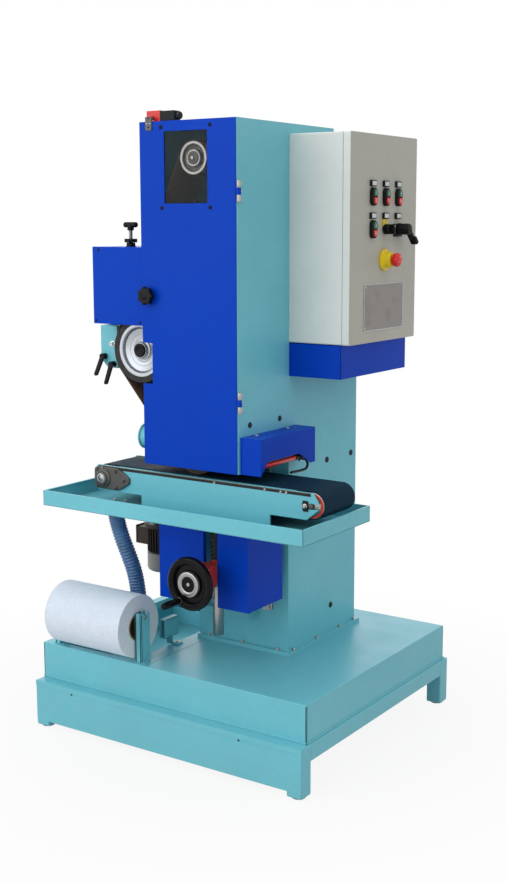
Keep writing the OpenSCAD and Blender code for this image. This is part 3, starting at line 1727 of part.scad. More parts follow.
module estop_mushroom() {
    x = cabinet_x1 + collar_h + estop_travel + part_gap;
    color(red) placed() {
        bar_x([cabinet_x1 + stem_lift + estop_travel, control_y, estop_z], collar_h, stem_r);
        translate([x, control_y, estop_z])
            rotate([0, 90, 0])
                rotate_extrude()
                    polygon([
                        [0, 0],
                        [mushroom_r * 0.8, 0],
                        [mushroom_r, mushroom_h * 0.35],
                        [mushroom_r, mushroom_h * 0.7],
                        [mushroom_r * 0.8, mushroom_h],
                        [0, mushroom_h]
                    ]);
    }
}

base_frame();
coolant_tank();
column();
roll_brackets();
paper_roll();
guide_rails();
jack_bracket();
jack_housing();
jack_screw();
bellows();
handwheel();
handwheel_grip();
tray();
carriage();
slide_guards();
conveyor_frame();
drive_roller();
tail_roller();
conveyor_belt();
drive_bearings();
conveyor_gearbox();
conveyor_motor();
drain_hose();
front_door();
window_pane();
door_hinges();
hinge_pins();
door_knob();
door_key();
interlock_switch();
side_guard();
wheel_bracket();
adjust_knob();
lock_knob();
clamp_lever_1();
clamp_lever_2();
side_wheel();
side_wheel_tyre();
upper_pulley();
contact_roller();
abrasive_belt();
grinding_motor();
exit_hood();
trip_bar();
cabinet_body();
cabinet_door();
cabinet_bracket();
button_bezels();
yellow_collars();
cap(double_sites[0], 1, green);  // green_button_1
cap(double_sites[1], 1, green);  // green_button_2
cap(double_sites[2], 1, green);  // green_button_3
cap(double_sites[3], 1, green);  // green_button_4
cap(double_sites[0], -1, red);  // red_button_1
cap(double_sites[1], -1, red);  // red_button_2
cap(double_sites[2], -1, red);  // red_button_3
cap(double_sites[3], -1, red);  // red_button_4
selector_knob();
isolator_handle();
estop_mushroom();
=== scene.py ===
"""Looks of the belt grinding machine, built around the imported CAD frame.

Pieces are drawn in the millimetres of the CAD source (X from the head's left side, Y from the
door's front face, Z from the floor) and turned into metres of the row frame when they are made.
"""
import math
import random

import bmesh
import bpy
from mathutils import Matrix, Vector


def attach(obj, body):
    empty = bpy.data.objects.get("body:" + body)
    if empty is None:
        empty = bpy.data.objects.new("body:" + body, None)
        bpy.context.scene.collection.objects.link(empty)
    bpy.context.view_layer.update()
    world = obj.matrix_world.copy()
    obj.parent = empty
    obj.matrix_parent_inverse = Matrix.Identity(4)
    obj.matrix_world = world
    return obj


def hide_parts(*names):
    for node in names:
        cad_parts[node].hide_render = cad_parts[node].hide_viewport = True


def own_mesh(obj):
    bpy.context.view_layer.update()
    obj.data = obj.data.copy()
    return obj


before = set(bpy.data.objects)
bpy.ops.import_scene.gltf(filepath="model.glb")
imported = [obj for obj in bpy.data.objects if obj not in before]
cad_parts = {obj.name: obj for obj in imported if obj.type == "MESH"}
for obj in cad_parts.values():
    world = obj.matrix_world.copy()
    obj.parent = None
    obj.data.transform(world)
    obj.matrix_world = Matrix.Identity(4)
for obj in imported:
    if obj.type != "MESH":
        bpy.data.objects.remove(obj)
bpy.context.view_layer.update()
random.seed(11)

MM = 0.001
MID_X, MID_Y = 122.0, 338.25
LEFT, RIGHT, FRONT, BACK, DOWN, UP = (-1, 0, 0), (1, 0, 0), (0, -1, 0), (0, 1, 0), (0, 0, -1), (0, 0, 1)


def line(*place):
    """Places on a line that runs along the axis whose coordinate is None."""
    return lambda free: tuple(free if v is None else v for v in place)


# places and axes that several pieces share, in design millimetres
DOOR_FOOT, DOOR_TOP = 868, 1851
HINGE_X, HINGES = 344, (DOOR_FOOT + 174, DOOR_FOOT + 756)
HINGE = line(HINGE_X, 1.5, None)
STAR_X, STAR_Z = 27, 1362
STAR = line(STAR_X, None, STAR_Z)
WHEEL = line(-35.6, None, 1198)
PULLEY = line(168, None, 1749)
WHEEL_FACE = 30
TRACK_X, TRACK_Y = -88, 60
TRACK = line(TRACK_X, TRACK_Y, None)
DRIVE_X, TAIL_X, DRUM_Z = -165, 573, 805
DRIVE, TAIL = line(DRIVE_X, None, DRUM_Z), line(TAIL_X, None, DRUM_Z)
MOTOR_Y = 301
MOTOR = line(DRIVE_X, MOTOR_Y, None)
SCREW_X, JACK_Z = 195, 539
SCREW, JACK = line(SCREW_X, 97, None), line(SCREW_X, None, JACK_Z)
GRIP = line(161.933, None, 486.082)
ROLL = (-310, -24, 370)
HEAD_SIDE, HOOD_SIDE, PANEL = 337, 407, 541
LID_PIN = line(516.25, 670.5, None)
ISOLATOR_Y, SWITCH_Z = 540, 1551
SELECTOR, ISOLATOR = line(None, 464, SWITCH_Z), line(None, ISOLATOR_Y, SWITCH_Z)
STOP = line(None, 464, 1462)


def M(x, y, z):
    """A place in design millimetres as metres of the row frame."""
    return Vector(((x - MID_X) * MM, (y - MID_Y) * MM, z * MM))


# ---------- camera
cam_data = bpy.data.cameras.new("camera")
cam_data.sensor_width = 36.0
cam_data.lens = 51.57
cam_data.shift_x = -0.0238
cam_data.shift_y = -0.0133
cam_data.clip_end = 60
camera = bpy.data.objects.new("camera", cam_data)
camera.location = (2.23073, -3.19344, 1.56485)
camera.rotation_euler = (math.radians(90 - 9.22), 0, math.radians(33.53))
bpy.context.scene.collection.objects.link(camera)
bpy.context.scene.camera = camera


# ---------- node helpers
class Nodes:
    """A short way to write a material's node tree."""

    def __init__(self, name):
        self.mat = bpy.data.materials.new(name)
        self.mat.use_nodes = True
        self.tree = self.mat.node_tree
        self.bsdf = self.tree.nodes["Principled BSDF"]

    def add(self, kind, **values):
        """A node, with its properties and its sockets set by name."""
        node = self.tree.nodes.new("ShaderNode" + kind)
        for key, value in values.items():
            if hasattr(node, key):
                setattr(node, key, value)
            else:
                node.inputs[key.replace("_", " ")].default_value = value
        return node

    def link(self, a, b):
        self.tree.links.new(a, b)

    def set(self, socket, value):
        """A number or a link on a socket of the shader."""
        if isinstance(value, (int, float)):
            self.bsdf.inputs[socket].default_value = value
        else:
            self.link(value, self.bsdf.inputs[socket])

    def coords(self, scale, stretch=(1, 1, 1)):
        """Object coordinates in metres, times a scale."""
        mapping = self.add("Mapping", Scale=[scale * s for s in stretch])
        self.link(self.add("TexCoord").outputs["Object"], mapping.inputs["Vector"])
        return mapping.outputs["Vector"]

    def split(self):
        """The three object coordinates, one by one."""
        node = self.add("SeparateXYZ")
        self.link(self.add("TexCoord").outputs["Object"], node.inputs[0])
        return node.outputs

    def noise(self, scale, detail=3, rough=0.5, stretch=(1, 1, 1)):
        node = self.add("TexNoise", Scale=1, Detail=detail, Roughness=rough)
        self.link(self.coords(scale, stretch), node.inputs["Vector"])
        return node.outputs["Fac"]

    def voronoi(self, scale):
        node = self.add("TexVoronoi", Scale=1)
        self.link(self.coords(scale), node.inputs["Vector"])
        return node.outputs["Distance"]

    def remap(self, value, low, high, to_low, to_high):
        node = self.add("MapRange", From_Min=low, From_Max=high, To_Min=to_low, To_Max=to_high)
        self.link(value, node.inputs["Value"])
        return node.outputs["Result"]

    def math(self, operation, a, b=0):
        node = self.add("Math", operation=operation)
        for socket, value in zip(node.inputs, (a, b)):
            if isinstance(value, (int, float)):
                socket.default_value = value
            else:
                self.link(value, socket)
        return node.outputs[0]

    def mix(self, factor, a, b):
        node = self.add("Mix", data_type="RGBA")
        for socket, value in ((node.inputs[0], factor), (node.inputs[6], a), (node.inputs[7], b)):
            if isinstance(value, (int, float)):
                socket.default_value = value
            elif isinstance(value, (tuple, list)):
                socket.default_value = (*value[:3], 1)
            else:
                self.link(value, socket)
        return node.outputs[2]

    def vary(self, source, low, high, share, a, b):
        """A tone that goes from a to a share of b as a value rises from low to high."""
        return self.mix(self.remap(source, low, high, 0, share), a, b)

    def edges(self, radius):
        """1 on edges and 0 on flat faces, with the rounded normal."""
        bevel = self.add("Bevel", samples=4, Radius=radius)
        dot = self.add("VectorMath", operation="DOT_PRODUCT")
        self.link(bevel.outputs[0], dot.inputs[0])
        self.link(self.add("NewGeometry").outputs["Normal"], dot.inputs[1])
        return self.remap(dot.outputs["Value"], 0.8, 0.995, 1, 0), bevel.outputs[0]

    def bump(self, height, strength, distance, normal=None):
        node = self.add("Bump", Strength=strength, Distance=distance)
        self.link(height, node.inputs["Height"])
        if normal is not None:
            self.link(normal, node.inputs["Normal"])
        self.link(node.outputs[0], self.bsdf.inputs["Normal"])


def tone(colour, factor, lift=0.0):
    return tuple(min(1, c * factor + lift) for c in colour)


PAINT_EDGE, FINE_EDGE = 0.0012, 0.0006      # metres, width of the paler edges: worn on metal and plastic, on paint mostly a painted highlight
DUST = (0.32, 0.31, 0.28)
DUST_TOP = 0.32                             # metres, where dust ends


def painted(name, colour, rough=0.34, grime=0.12, edge=1.16, spec=0.3):
    """Sprayed paint: slight orange peel, soft drifts of tone, dust low down, and paler edges that are mostly a
    painted highlight with a little wear.
    """
    n = Nodes(name)
    base = n.vary(n.noise(2.6, 4, 0.6), 0.3, 0.7, 1, tone(colour, 0.94), tone(colour, 1.05))
    base = n.vary(n.noise(38, 3, 0.6), 0.45, 0.75, 0.35, base, tone(colour, 0.9))
    # paler edges: a painted highlight along the rounded edges, with a little wear
    edge_mask, soft = n.edges(PAINT_EDGE)
    base = n.mix(n.math("MULTIPLY", edge_mask, 0.55), base, tone(colour, edge, 0.02))
    low = n.remap(n.split()["Z"], 0.0, DUST_TOP, 1, 0)
    dust = n.math("MULTIPLY", low, n.remap(n.noise(14, 5, 0.7), 0.42, 0.72, 0, 1))
    n.set("Base Color", n.mix(n.math("MULTIPLY", dust, grime), base, DUST))
    n.set("Roughness", n.remap(n.noise(9, 4, 0.65), 0.3, 0.7, rough - 0.05, rough + 0.09))
    n.set("Specular IOR Level", spec)
    n.bump(n.noise(520, 2, 0.5), 0.12, 0.0004, soft)
    return n.mat


def metal(name, colour, rough=0.3, stretch=(1, 1, 1), scale=160, metallic=1.0, bump=0.12, dirt=0.25):
    """Bare metal with machining marks along a direction and darker dirt between."""
    n = Nodes(name)
    marks = n.noise(scale, 4, 0.6, stretch)
    base = n.vary(marks, 0.3, 0.7, 1, tone(colour, 0.85), tone(colour, 1.1))
    spots = n.remap(n.noise(21, 5, 0.7), 0.5, 0.75, 0, 1)
    base = n.mix(n.math("MULTIPLY", spots, dirt), base, tone(colour, 0.4))
    edge_mask, soft = n.edges(FINE_EDGE)
    n.set("Base Color", n.mix(n.math("MULTIPLY", edge_mask, 0.5), base, tone(colour, 1.3)))
    n.set("Metallic", metallic)
    n.set("Roughness", n.remap(marks, 0.3, 0.7, rough - 0.06, rough + 0.12))
    n.bump(marks, bump, 0.0003, soft)
    return n.mat


def plastic(name, colour, rough=0.3, grain=900, bump=0.1, coat=0.0, spec=0.4):
    n = Nodes(name)
    base = n.vary(n.noise(24, 3, 0.6), 0.35, 0.65, 1, tone(colour, 0.88), tone(colour, 1.1))
    edge_mask, soft = n.edges(FINE_EDGE)
    n.set("Base Color", n.mix(n.math("MULTIPLY", edge_mask, 0.4), base, tone(colour, 1.3, 0.01)))
    n.set("Roughness", n.remap(n.noise(60, 4, 0.6), 0.3, 0.7, rough - 0.05, rough + 0.08))
    n.set("Specular IOR Level", spec)
    n.set("Coat Weight", coat)
    n.bump(n.noise(grain, 2, 0.5), bump, 0.0002, soft)
    return n.mat


def rubber(name, colour, rough=0.62, grain=420):
    n = Nodes(name)
    n.set("Base Color", n.vary(n.noise(16, 5, 0.7), 0.45, 0.8, 0.5, colour,
                              tone(colour, 0.6, 0.05)))
    n.set("Roughness", n.remap(n.noise(40, 3, 0.6), 0.3, 0.7, rough - 0.08, rough + 0.12))
    n.set("Sheen Weight", 0.1)
    n.set("Specular IOR Level", 0.3)
    n.bump(n.noise(grain, 3, 0.6), 0.3, 0.0004)
    return n.mat


def grit():
    """The abrasive belt: cloth ground with packed grain."""
    n = Nodes("abrasive_grain")
    grain = n.voronoi(1500)
    base = n.vary(grain, 0.1, 0.7, 1, (0.30, 0.15, 0.075), (0.075, 0.035, 0.02))
    base = n.vary(n.noise(120, 4, 0.7), 0.4, 0.7, 0.6, base, (0.12, 0.06, 0.035))
    wear = n.noise(12, 3, 0.5, (1, 0.2, 1))
    n.set("Base Color", n.vary(wear, 0.4, 0.7, 0.3, base, (0.30, 0.24, 0.2)))
    n.set("Roughness", 0.85)
    n.bump(grain, 0.8, 0.0006)
    return n.mat


def belt_cloth():
    """The conveyor belt: dark blue rubber with a fine rough-top pattern, its tones made darker still as painted
    shade under the door.
    """
    n = Nodes("conveyor_rubber")
    grip, drift = n.voronoi(520), n.noise(10, 4, 0.6)
    # the rubber's tones are set darker than the belt is, as painted shade under the door
    base = n.vary(grip, 0.1, 0.7, 1, (0.007, 0.042, 0.082), (0.002, 0.012, 0.028))
    n.set("Base Color", n.vary(drift, 0.4, 0.75, 0.4, base, (0.012, 0.044, 0.068)))
    n.set("Roughness", n.remap(drift, 0.3, 0.7, 0.52, 0.72))
    n.set("Specular IOR Level", 0.06)
    n.bump(grip, 0.7, 0.0009)
    return n.mat


def paper(name, side):
    """Filter paper: soft fibres on the outside, wound layers on the ends, whose paper is painted lighter to
    make up for their shade.
    """
    n = Nodes(name)
    height = fibre = n.noise(150, 6, 0.75)
    # the ends' paper is painted lighter than the outside, to make up for the shade on the ends
    colour = (0.88, 0.91, 0.95) if side else (0.75, 0.83, 0.92)
    base = n.vary(fibre, 0.35, 0.7, 1, tone(colour, 0.93), tone(colour, 1.07))
    base = n.vary(n.noise(26, 4, 0.6), 0.4, 0.7, 0.5, base, tone(colour, 0.9))
    if side:
        place, centre = n.split(), M(*ROLL)
        dy = n.math("SUBTRACT", place["Y"], centre[1])
        dz = n.math("SUBTRACT", place["Z"], centre[2])
        radius = n.math("SQRT", n.math("ADD", n.math("MULTIPLY", dy, dy), n.math("MULTIPLY", dz, dz)))
        wobble = n.math("ADD", radius, n.math("MULTIPLY", n.noise(30, 2), 0.0012))
        height = n.math("SINE", n.math("MULTIPLY", wobble, 5200))
        base = n.mix(n.remap(height, -0.2, 1, 0, 0.3), base, tone(colour, 0.78))
    n.set("Base Color", base)
    n.set("Roughness", 0.88)
    n.set("Sheen Weight", 0.2)
    n.bump(height, 0.35, 0.0006)
    return n.mat


def card():
    n = Nodes("cardboard")
    fibre = n.noise(300, 5, 0.7)
    n.set("Base Color", n.vary(fibre, 0.3, 0.7, 1, (0.26, 0.18, 0.11), (0.38, 0.28, 0.18)))
    n.set("Roughness", 0.85)
    n.bump(fibre, 0.3, 0.0004)
    return n.mat


def clear_pane():
    n = Nodes("clear_pane")
    n.set("Base Color", n.mix(n.noise(6), (0.05, 0.065, 0.065), (0.08, 0.09, 0.09)))
    n.set("Roughness", 0.03)
    n.set("Specular IOR Level", 0.25)
    n.set("Alpha", 0.12)
    n.bump(n.noise(30, 2), 0.02, 0.0002)
    return n.mat


def hose_skin():
    """Soft blue-grey hose with dusty drifts."""
    n = Nodes("hose_skin")
    colour = (0.066, 0.165, 0.335)
    n.set("Base Color", n.vary(n.noise(34, 5, 0.7), 0.38, 0.72, 1, tone(colour, 0.75),
                              tone(colour, 1.35)))
    n.set("Roughness", n.remap(n.noise(80, 3), 0.3, 0.7, 0.34, 0.5))
    n.bump(n.noise(260, 3), 0.15, 0.0004)
    return n.mat


# ---------- materials
TEAL = (0.168, 0.555, 0.640)
BLUE = (0.0006, 0.053, 0.50)
MAT = {
    "teal": painted("teal_paint", TEAL, rough=0.36, spec=0.34),
    # tray floor paint: the teal made matte and a tenth darker, the darkening being painted shade
    "matt": painted("tray_paint_shaded", tone(TEAL, 0.9), rough=0.7, grime=0.0, spec=0.04),
    "blue": painted("blue_paint", BLUE, grime=0.03, edge=1.5, spec=0.07),
    # cabinet grey: set lighter than its paint, to make up for the shade the head casts on the cabinet's side;
    # the grinding motor shares it
    "grey": painted("cabinet_paint_lightened", (0.77, 0.80, 0.76), rough=0.42, grime=0.0),
    # lid paint: a darker, warmer copy of the cabinet grey, with the shade and warm light on the lid's face
    # painted in
    "lid": painted("lid_paint_shaded", (0.50, 0.485, 0.42), rough=0.42, grime=0.0),
    "red": painted("red_paint", (0.60, 0.045, 0.025), grime=0.1, edge=1.4),
    "cowl": painted("motor_paint", (0.27, 0.26, 0.235), rough=0.4, grime=0.3),
    "motor": painted("motor_dark", (0.040, 0.030, 0.022), rough=0.45, grime=0.2, spec=0.2),
    "yellow": plastic("yellow_plastic", (0.84, 0.62, 0.01), 0.35),
    "black": plastic("black_plastic", (0.005, 0.005, 0.006), 0.24, coat=0.03, spec=0.1),
    "satin": plastic("black_satin", (0.014, 0.015, 0.017), 0.42, grain=600, bump=0.2, spec=0.12),
    "green": plastic("green_plastic", (0.005, 0.125, 0.06), 0.25, coat=0.1),
    "scarlet": plastic("red_plastic", (0.70, 0.010, 0.010), 0.28, coat=0.1),
    "label": plastic("label_insert", (0.72, 0.74, 0.72), 0.4),
    "steel": metal("bright_steel", (0.40, 0.41, 0.42), 0.28),
    "chrome": metal("chrome", (0.58, 0.59, 0.6), 0.16, scale=300, bump=0.03, dirt=0.08),
    "turned": metal("turned_steel", (0.36, 0.35, 0.34), 0.3, stretch=(1, 0.06, 1), scale=420),
    "alu": metal("aluminium", (0.42, 0.445, 0.475), 0.38, scale=240, dirt=0.12),
    "plate": metal("nameplate", (0.25, 0.235, 0.225), 0.42, stretch=(1, 0.03, 1), scale=700, dirt=0.4),
    "cast": metal("cast_iron", (0.11, 0.107, 0.10), 0.5, scale=330, metallic=0.8, bump=0.45, dirt=0.4),
    "zinc": metal("zinc_plated", (0.44, 0.435, 0.40), 0.32, scale=200),
    "tyre": rubber("tyre_rubber", (0.016, 0.016, 0.017), 0.6),
    "boot": rubber("boot_rubber", (0.012, 0.013, 0.015), 0.55, grain=600),
    "seal": rubber("seal_rubber", (0.01, 0.01, 0.011), 0.7),
    "grit": grit(),
    "belt": belt_cloth(),
    "paper": paper("filter_paper", False),
    "paper_end": paper("filter_paper_layers_lightened", True),
    "card": card(),
    "glass": clear_pane(),
    "hose": hose_skin(),
}


# ---------- outlines and paths
def circle(cx, cy, r, n=32):
    return [(cx + r * math.cos(2 * math.pi * i / n), cy + r * math.sin(2 * math.pi * i / n)) for i in range(n)]


def spots(cx, cy, r, n, first):
    """Places round a centre, from a first angle in degrees."""
    angles = [math.radians(first + 360 / n * i) for i in range(n)]
    return [(cx + r * math.cos(a), cy + r * math.sin(a)) for a in angles]


def wavy(cx, cy, n, radius):
    """A closed outline whose radius is a function of the angle."""
    angles = [2 * math.pi * i / n for i in range(n)]
    return [(cx + radius(a) * math.cos(a), cy + radius(a) * math.sin(a)) for a in angles]


def rect(x0, y0, x1, y1, r=0, n=5):
    """A rectangle with rounded corners, as a list of points."""
    if r <= 0:
        return [(x0, y0), (x1, y0), (x1, y1), (x0, y1)]
    points = []
    for cx, cy, a in ((x1 - r, y0 + r, -90), (x1 - r, y1 - r, 0), (x0 + r, y1 - r, 90), (x0 + r, y0 + r, 180)):
        for i in range(n + 1):
            t = math.radians(a + 90 * i / n)
            points.append((cx + r * math.cos(t), cy + r * math.sin(t)))
    return points


def arc(r, step, rise=0.0):
    """Points of the upper half of a circle, lifted by a rise."""
    return [(r * math.cos(math.radians(a)), rise + r * math.sin(math.radians(a))) for a in range(0, 181, step)]


def smooth_path(route, steps):
    """Catmull-Rom points through a route."""
    pts = [Vector(p) for p in route]
    out = []
    last = len(pts) - 1
    for s in range(steps + 1):
        t = last * s / steps
        i = min(last - 1, int(t))
        u = t - i
        a, b, c, d = pts[max(0, i - 1)], pts[i], pts[i + 1], pts[min(last, i + 2)]
        out.append(0.5 * (2 * b + (c - a) * u + (2 * a - 5 * b + 4 * c - d) * u * u
                          + (3 * b - a - 3 * c + d) * u ** 3))
    return out


def about(axis_point, axis, degrees):
    """A turn about an axis through a point, in millimetres."""
    place = Matrix.Translation(Vector(axis_point))
    return place @ Matrix.Rotation(math.radians(degrees), 4, axis) @ place.inverted()


# ---------- mesh helpers
FLAT, SMALL = 0.9998, 12        # faces this square to an axis and this large, in mm2, stay flat


class Piece:
    """One visible piece: forms in design millimetres that end as one mesh object.
    Forms take the piece's own material key unless they name another."""

    def __init__(self, name, body, slot, key, node=None):
        self.name, self.body, self.slot, self.key, self.node = name, body, slot, key, node
        self.bm = bmesh.new()
        self.mats = []

    def take(self, bm, key=None, matrix=None):
        """Adds a finished form, whose vertices are still in millimetres."""
        key = key or self.key
        if key not in self.mats:
            self.mats.append(key)
        index = self.mats.index(key)
        bm.normal_update()
        for f in bm.faces:
            f.material_index = index
            f.smooth = max(abs(c) for c in f.normal) < FLAT or f.calc_area() < SMALL
        if matrix is not None:
            bmesh.ops.transform(bm, matrix=matrix, verts=bm.verts)
        mesh = bpy.data.meshes.new("part")
        bm.to_mesh(mesh)
        bm.free()
        self.bm.from_mesh(mesh)
        bpy.data.meshes.remove(mesh)

    def box(self, lo, hi, bevel=1.0, segments=2, key=None, matrix=None):
        bm = bmesh.new()
        bmesh.ops.create_cube(bm, size=1)
        size = [b - a for a, b in zip(lo, hi)]
        mid = [(a + b) / 2 for a, b in zip(lo, hi)]
        bmesh.ops.scale(bm, vec=size, verts=bm.verts)
        bmesh.ops.translate(bm, vec=mid, verts=bm.verts)
        bm.normal_update()
        bmesh.ops.bevel(bm, geom=bm.edges[:], offset=min(bevel, min(size) * 0.45), offset_type="OFFSET",
                        segments=segments, profile=0.5, affect="EDGES", clamp_overlap=True)
        self.take(bm, key, matrix)

    def boxes(self, pairs, bevel=1.0, segments=2):
        for lo, hi in pairs:
            self.box(lo, hi, bevel, segments)

    def lathe(self, start, way, profile, segments=48, key=None):
        """Turns (radius, height) points round an axis. Points with radius 0 close it."""
        bm = bmesh.new()
        rings = []
        for r, h in profile:
            ring = circle(0, 0, r, segments) if r > 1e-6 else [(0, 0)]
            rings.append([bm.verts.new((x, y, h)) for x, y in ring])
        for a, b in zip(rings, rings[1:]):
            for i in range(segments):
                j = (i + 1) % segments
                if len(a) == 1 and len(b) == 1:
                    continue
                if len(a) == 1:
                    bm.faces.new((a[0], b[i], b[j]))
                elif len(b) == 1:
                    bm.faces.new((a[i], b[0], a[j]))
                else:
                    bm.faces.new((a[i], b[i], b[j], a[j]))
        bmesh.ops.recalc_face_normals(bm, faces=bm.faces)
        turn = Vector(UP).rotation_difference(Vector(way)).to_matrix().to_4x4()
        self.take(bm, key, Matrix.Translation(Vector(start)) @ turn)

    def rod(self, start, end, r, bevel=0.6, segments=32, key=None, bore=0):
        """A round bar with rounded ends; with a bore it is a tube."""
        start, end = Vector(start), Vector(end)
        h = (end - start).length
        b = min(bevel, h * 0.3, r * 0.4)
        outer = [(r - b, 0), (r - b * 0.3, b * 0.3), (r, b), (r, h - b), (r - b * 0.3, h - b * 0.3), (r - b, h)]
        if bore:
            profile = [(bore, 0)] + outer + [(bore, h), (bore, 0)]
        else:
            profile = [(0, 0)] + outer + [(0, h)]
        self.lathe(start, end - start, profile, segments, key)

    def prism(self, outline, axis, low, high, bevel=0.8, segments=2, key=None, holes=()):
        """A flat outline made thick along an axis, with rounded rims also in its holes.
        The outline is in (Y, Z) for x, in (X, Z) for y and in (X, Y) for z."""
        curve = bpy.data.curves.new("outline", "CURVE")
        curve.dimensions = "2D"
        curve.fill_mode = "BOTH"
        for loop in [outline, *holes]:
            spline = curve.splines.new("POLY")
            spline.points.add(len(loop) - 1)
            for point, (u, v) in zip(spline.points, loop):
                point.co = (u, v, 0, 1)
            spline.use_cyclic_u = True
        b = min(bevel, (high - low) * 0.45)
        curve.extrude = (high - low) / 2 - b
        curve.bevel_depth = b
        curve.bevel_resolution = segments
        curve.offset = -b
        holder = bpy.data.objects.new("outline", curve)
        bpy.context.scene.collection.objects.link(holder)
        deps = bpy.context.evaluated_depsgraph_get()
        mesh = bpy.data.meshes.new_from_object(holder.evaluated_get(deps))
        bpy.data.objects.remove(holder)
        bpy.data.curves.remove(curve)
        bm = bmesh.new()
        bm.from_mesh(mesh)
        bpy.data.meshes.remove(mesh)
        bmesh.ops.remove_doubles(bm, verts=bm.verts, dist=1e-4)
        bmesh.ops.dissolve_degenerate(bm, dist=1e-4, edges=bm.edges)
        bmesh.ops.recalc_face_normals(bm, faces=bm.faces)
        mid = (low + high) / 2
        self.take(bm, key, {
            "z": Matrix.Translation((0, 0, mid)),
            "y": Matrix(((1, 0, 0, 0), (0, 0, -1, mid), (0, 1, 0, 0), (0, 0, 0, 1))),
            "x": Matrix(((0, 0, 1, mid), (1, 0, 0, 0), (0, 1, 0, 0), (0, 0, 0, 1))),
        }[axis])

    def sweep(self, points, section, key=None, up=UP, closed=False):
        """A section of (side, up) points carried along a path."""
        bm = bmesh.new()
        pts = [Vector(p) for p in points]
        rings = []
        count = len(pts)
        normal = None
        for i, p in enumerate(pts):
            a = pts[i - 1] if i or closed else pts[i]
            b = pts[(i + 1) % count] if i < count - 1 or closed else pts[i]
            way = (b - a).normalized()
            if normal is None:
                normal = Vector(up)
                if abs(normal.dot(way)) > 0.95:
                    normal = Vector(RIGHT)
            normal = (normal - way * normal.dot(way)).normalized()
            side = way.cross(normal)
            rings.append([bm.verts.new(p + side * s[0] + normal * s[1]) for s in section])
        m = len(section)
        for i in range(count if closed else count - 1):
            a, b = rings[i], rings[(i + 1) % count]
            for k in range(m):
                bm.faces.new((a[k], a[(k + 1) % m], b[(k + 1) % m], b[k]))
        if not closed:
            bm.faces.new(rings[0][::-1])
            bm.faces.new(rings[-1])
        bmesh.ops.recalc_face_normals(bm, faces=bm.faces)
        self.take(bm, key)

    def bolt(self, place, way, r, kind="socket", washer=True, h=None, key="zinc"):
        """A screw head standing on a face: socket, hex or pan."""
        place, way = Vector(place), Vector(way).normalized()
        h = h or r * 1.1
        if washer:
            self.rod(place, place + way * r * 0.28, r * 1.45, 0.15, 28, key)
            place = place + way * r * 0.28
        profile, sides = {
            "hex": ([(r * 1.02, 0), (r * 1.02, h * 0.85), (r * 0.9, h), (0, h)], 6),
            "pan": ([(r, 0), (r * 0.96, h * 0.45), (r * 0.75, h * 0.8), (r * 0.4, h), (0, h)], 24),
            "socket": ([(r, 0), (r, h * 0.88), (r * 0.9, h), (r * 0.58, h), (r * 0.58, h * 0.45),
                        (0, h * 0.4)], 24),
        }[kind]
        self.lathe(place, way, [(0, 0)] + profile, sides, key)

    def pan(self, place, way, r, h, key="zinc"):
        """A low screw head without a washer."""
        self.bolt(place, way, r, "pan", False, h, key)

    def done(self, auto=38):
        """Makes the object, in metres, on its body. Edges sharper than auto degrees stay hard."""
        matrix = Matrix.Scale(MM, 4) @ Matrix.Translation((-MID_X, -MID_Y, 0))
        bmesh.ops.transform(self.bm, matrix=matrix, verts=self.bm.verts)
        self.bm.normal_update()
        limit = math.radians(auto)
        for e in self.bm.edges:
            e.smooth = len(e.link_faces) == 2 and e.calc_face_angle(0) < limit
        mesh = bpy.data.meshes.new(self.name)
        self.bm.to_mesh(mesh)
        self.bm.free()
        for key in self.mats:
            mesh.materials.append(MAT[key])
        obj = bpy.data.objects.new(self.name, mesh)
        bpy.context.scene.collection.objects.link(obj)
        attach(obj, self.body)
        if self.node:
            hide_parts(self.node)
        return obj


# ---------- drain hose
HOSE_ROUTE = [
    (-150, 40, 711.6), (-150, 40, 690), (-148, 48, 650), (-140, 60, 600), (-130, 74, 550), (-122, 88, 500),
    (-119, 98, 450), (-120, 106, 400), (-123, 111, 350), (-126, 114, 300), (-128, 115, 250), (-129, 115, 215),
]
HOSE_RIBS, HOSE_VALLEY, HOSE_RISE = 56, 21.9, 3.1


def drain_hose():
    per, sides = 6, 32
    path = smooth_path(HOSE_ROUTE, HOSE_RIBS * per)
    bm = bmesh.new()
    rings = []
    for i, p in enumerate(path):
        way = (path[min(i + 1, len(path) - 1)] - path[max(i - 1, 0)]).normalized()
        side = way.cross(Vector(BACK)).normalized()
        up = way.cross(side)
        wave = 0.5 + 0.5 * math.cos(2 * math.pi * i / per)
        r = HOSE_VALLEY + HOSE_RISE * wave ** 1.1
        rings.append([bm.verts.new(p + r * (side * u + up * v)) for u, v in circle(0, 0, 1, sides)])
    for a, b in zip(rings, rings[1:]):
        for k in range(sides):
            j = (k + 1) % sides
            bm.faces.new((a[k], a[j], b[j], b[k]))
    # both ends turn in, so that the open mouths look hollow
    for end, way in ((rings[0], -1), (rings[-1], 1)):
        inner = [bm.verts.new(v.co + (sum((w.co for w in end), Vector()) / sides - v.co) * 0.15) for v in end]
        deep = [bm.verts.new(v.co + Vector((0, 0, 12 * way))) for v in inner]
        for k in range(sides):
            j = (k + 1) % sides
            bm.faces.new((end[k], end[j], inner[j], inner[k]))
            bm.faces.new((inner[k], inner[j], deep[j], deep[k]))
        bm.faces.new(deep)
    bmesh.ops.recalc_face_normals(bm, faces=bm.faces)
    piece = Piece("hose_skin", "machine", "hose_rubber", "hose", "drain_hose")
    piece.take(bm)
    hose = piece.done(auto=80)
    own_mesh(hose)


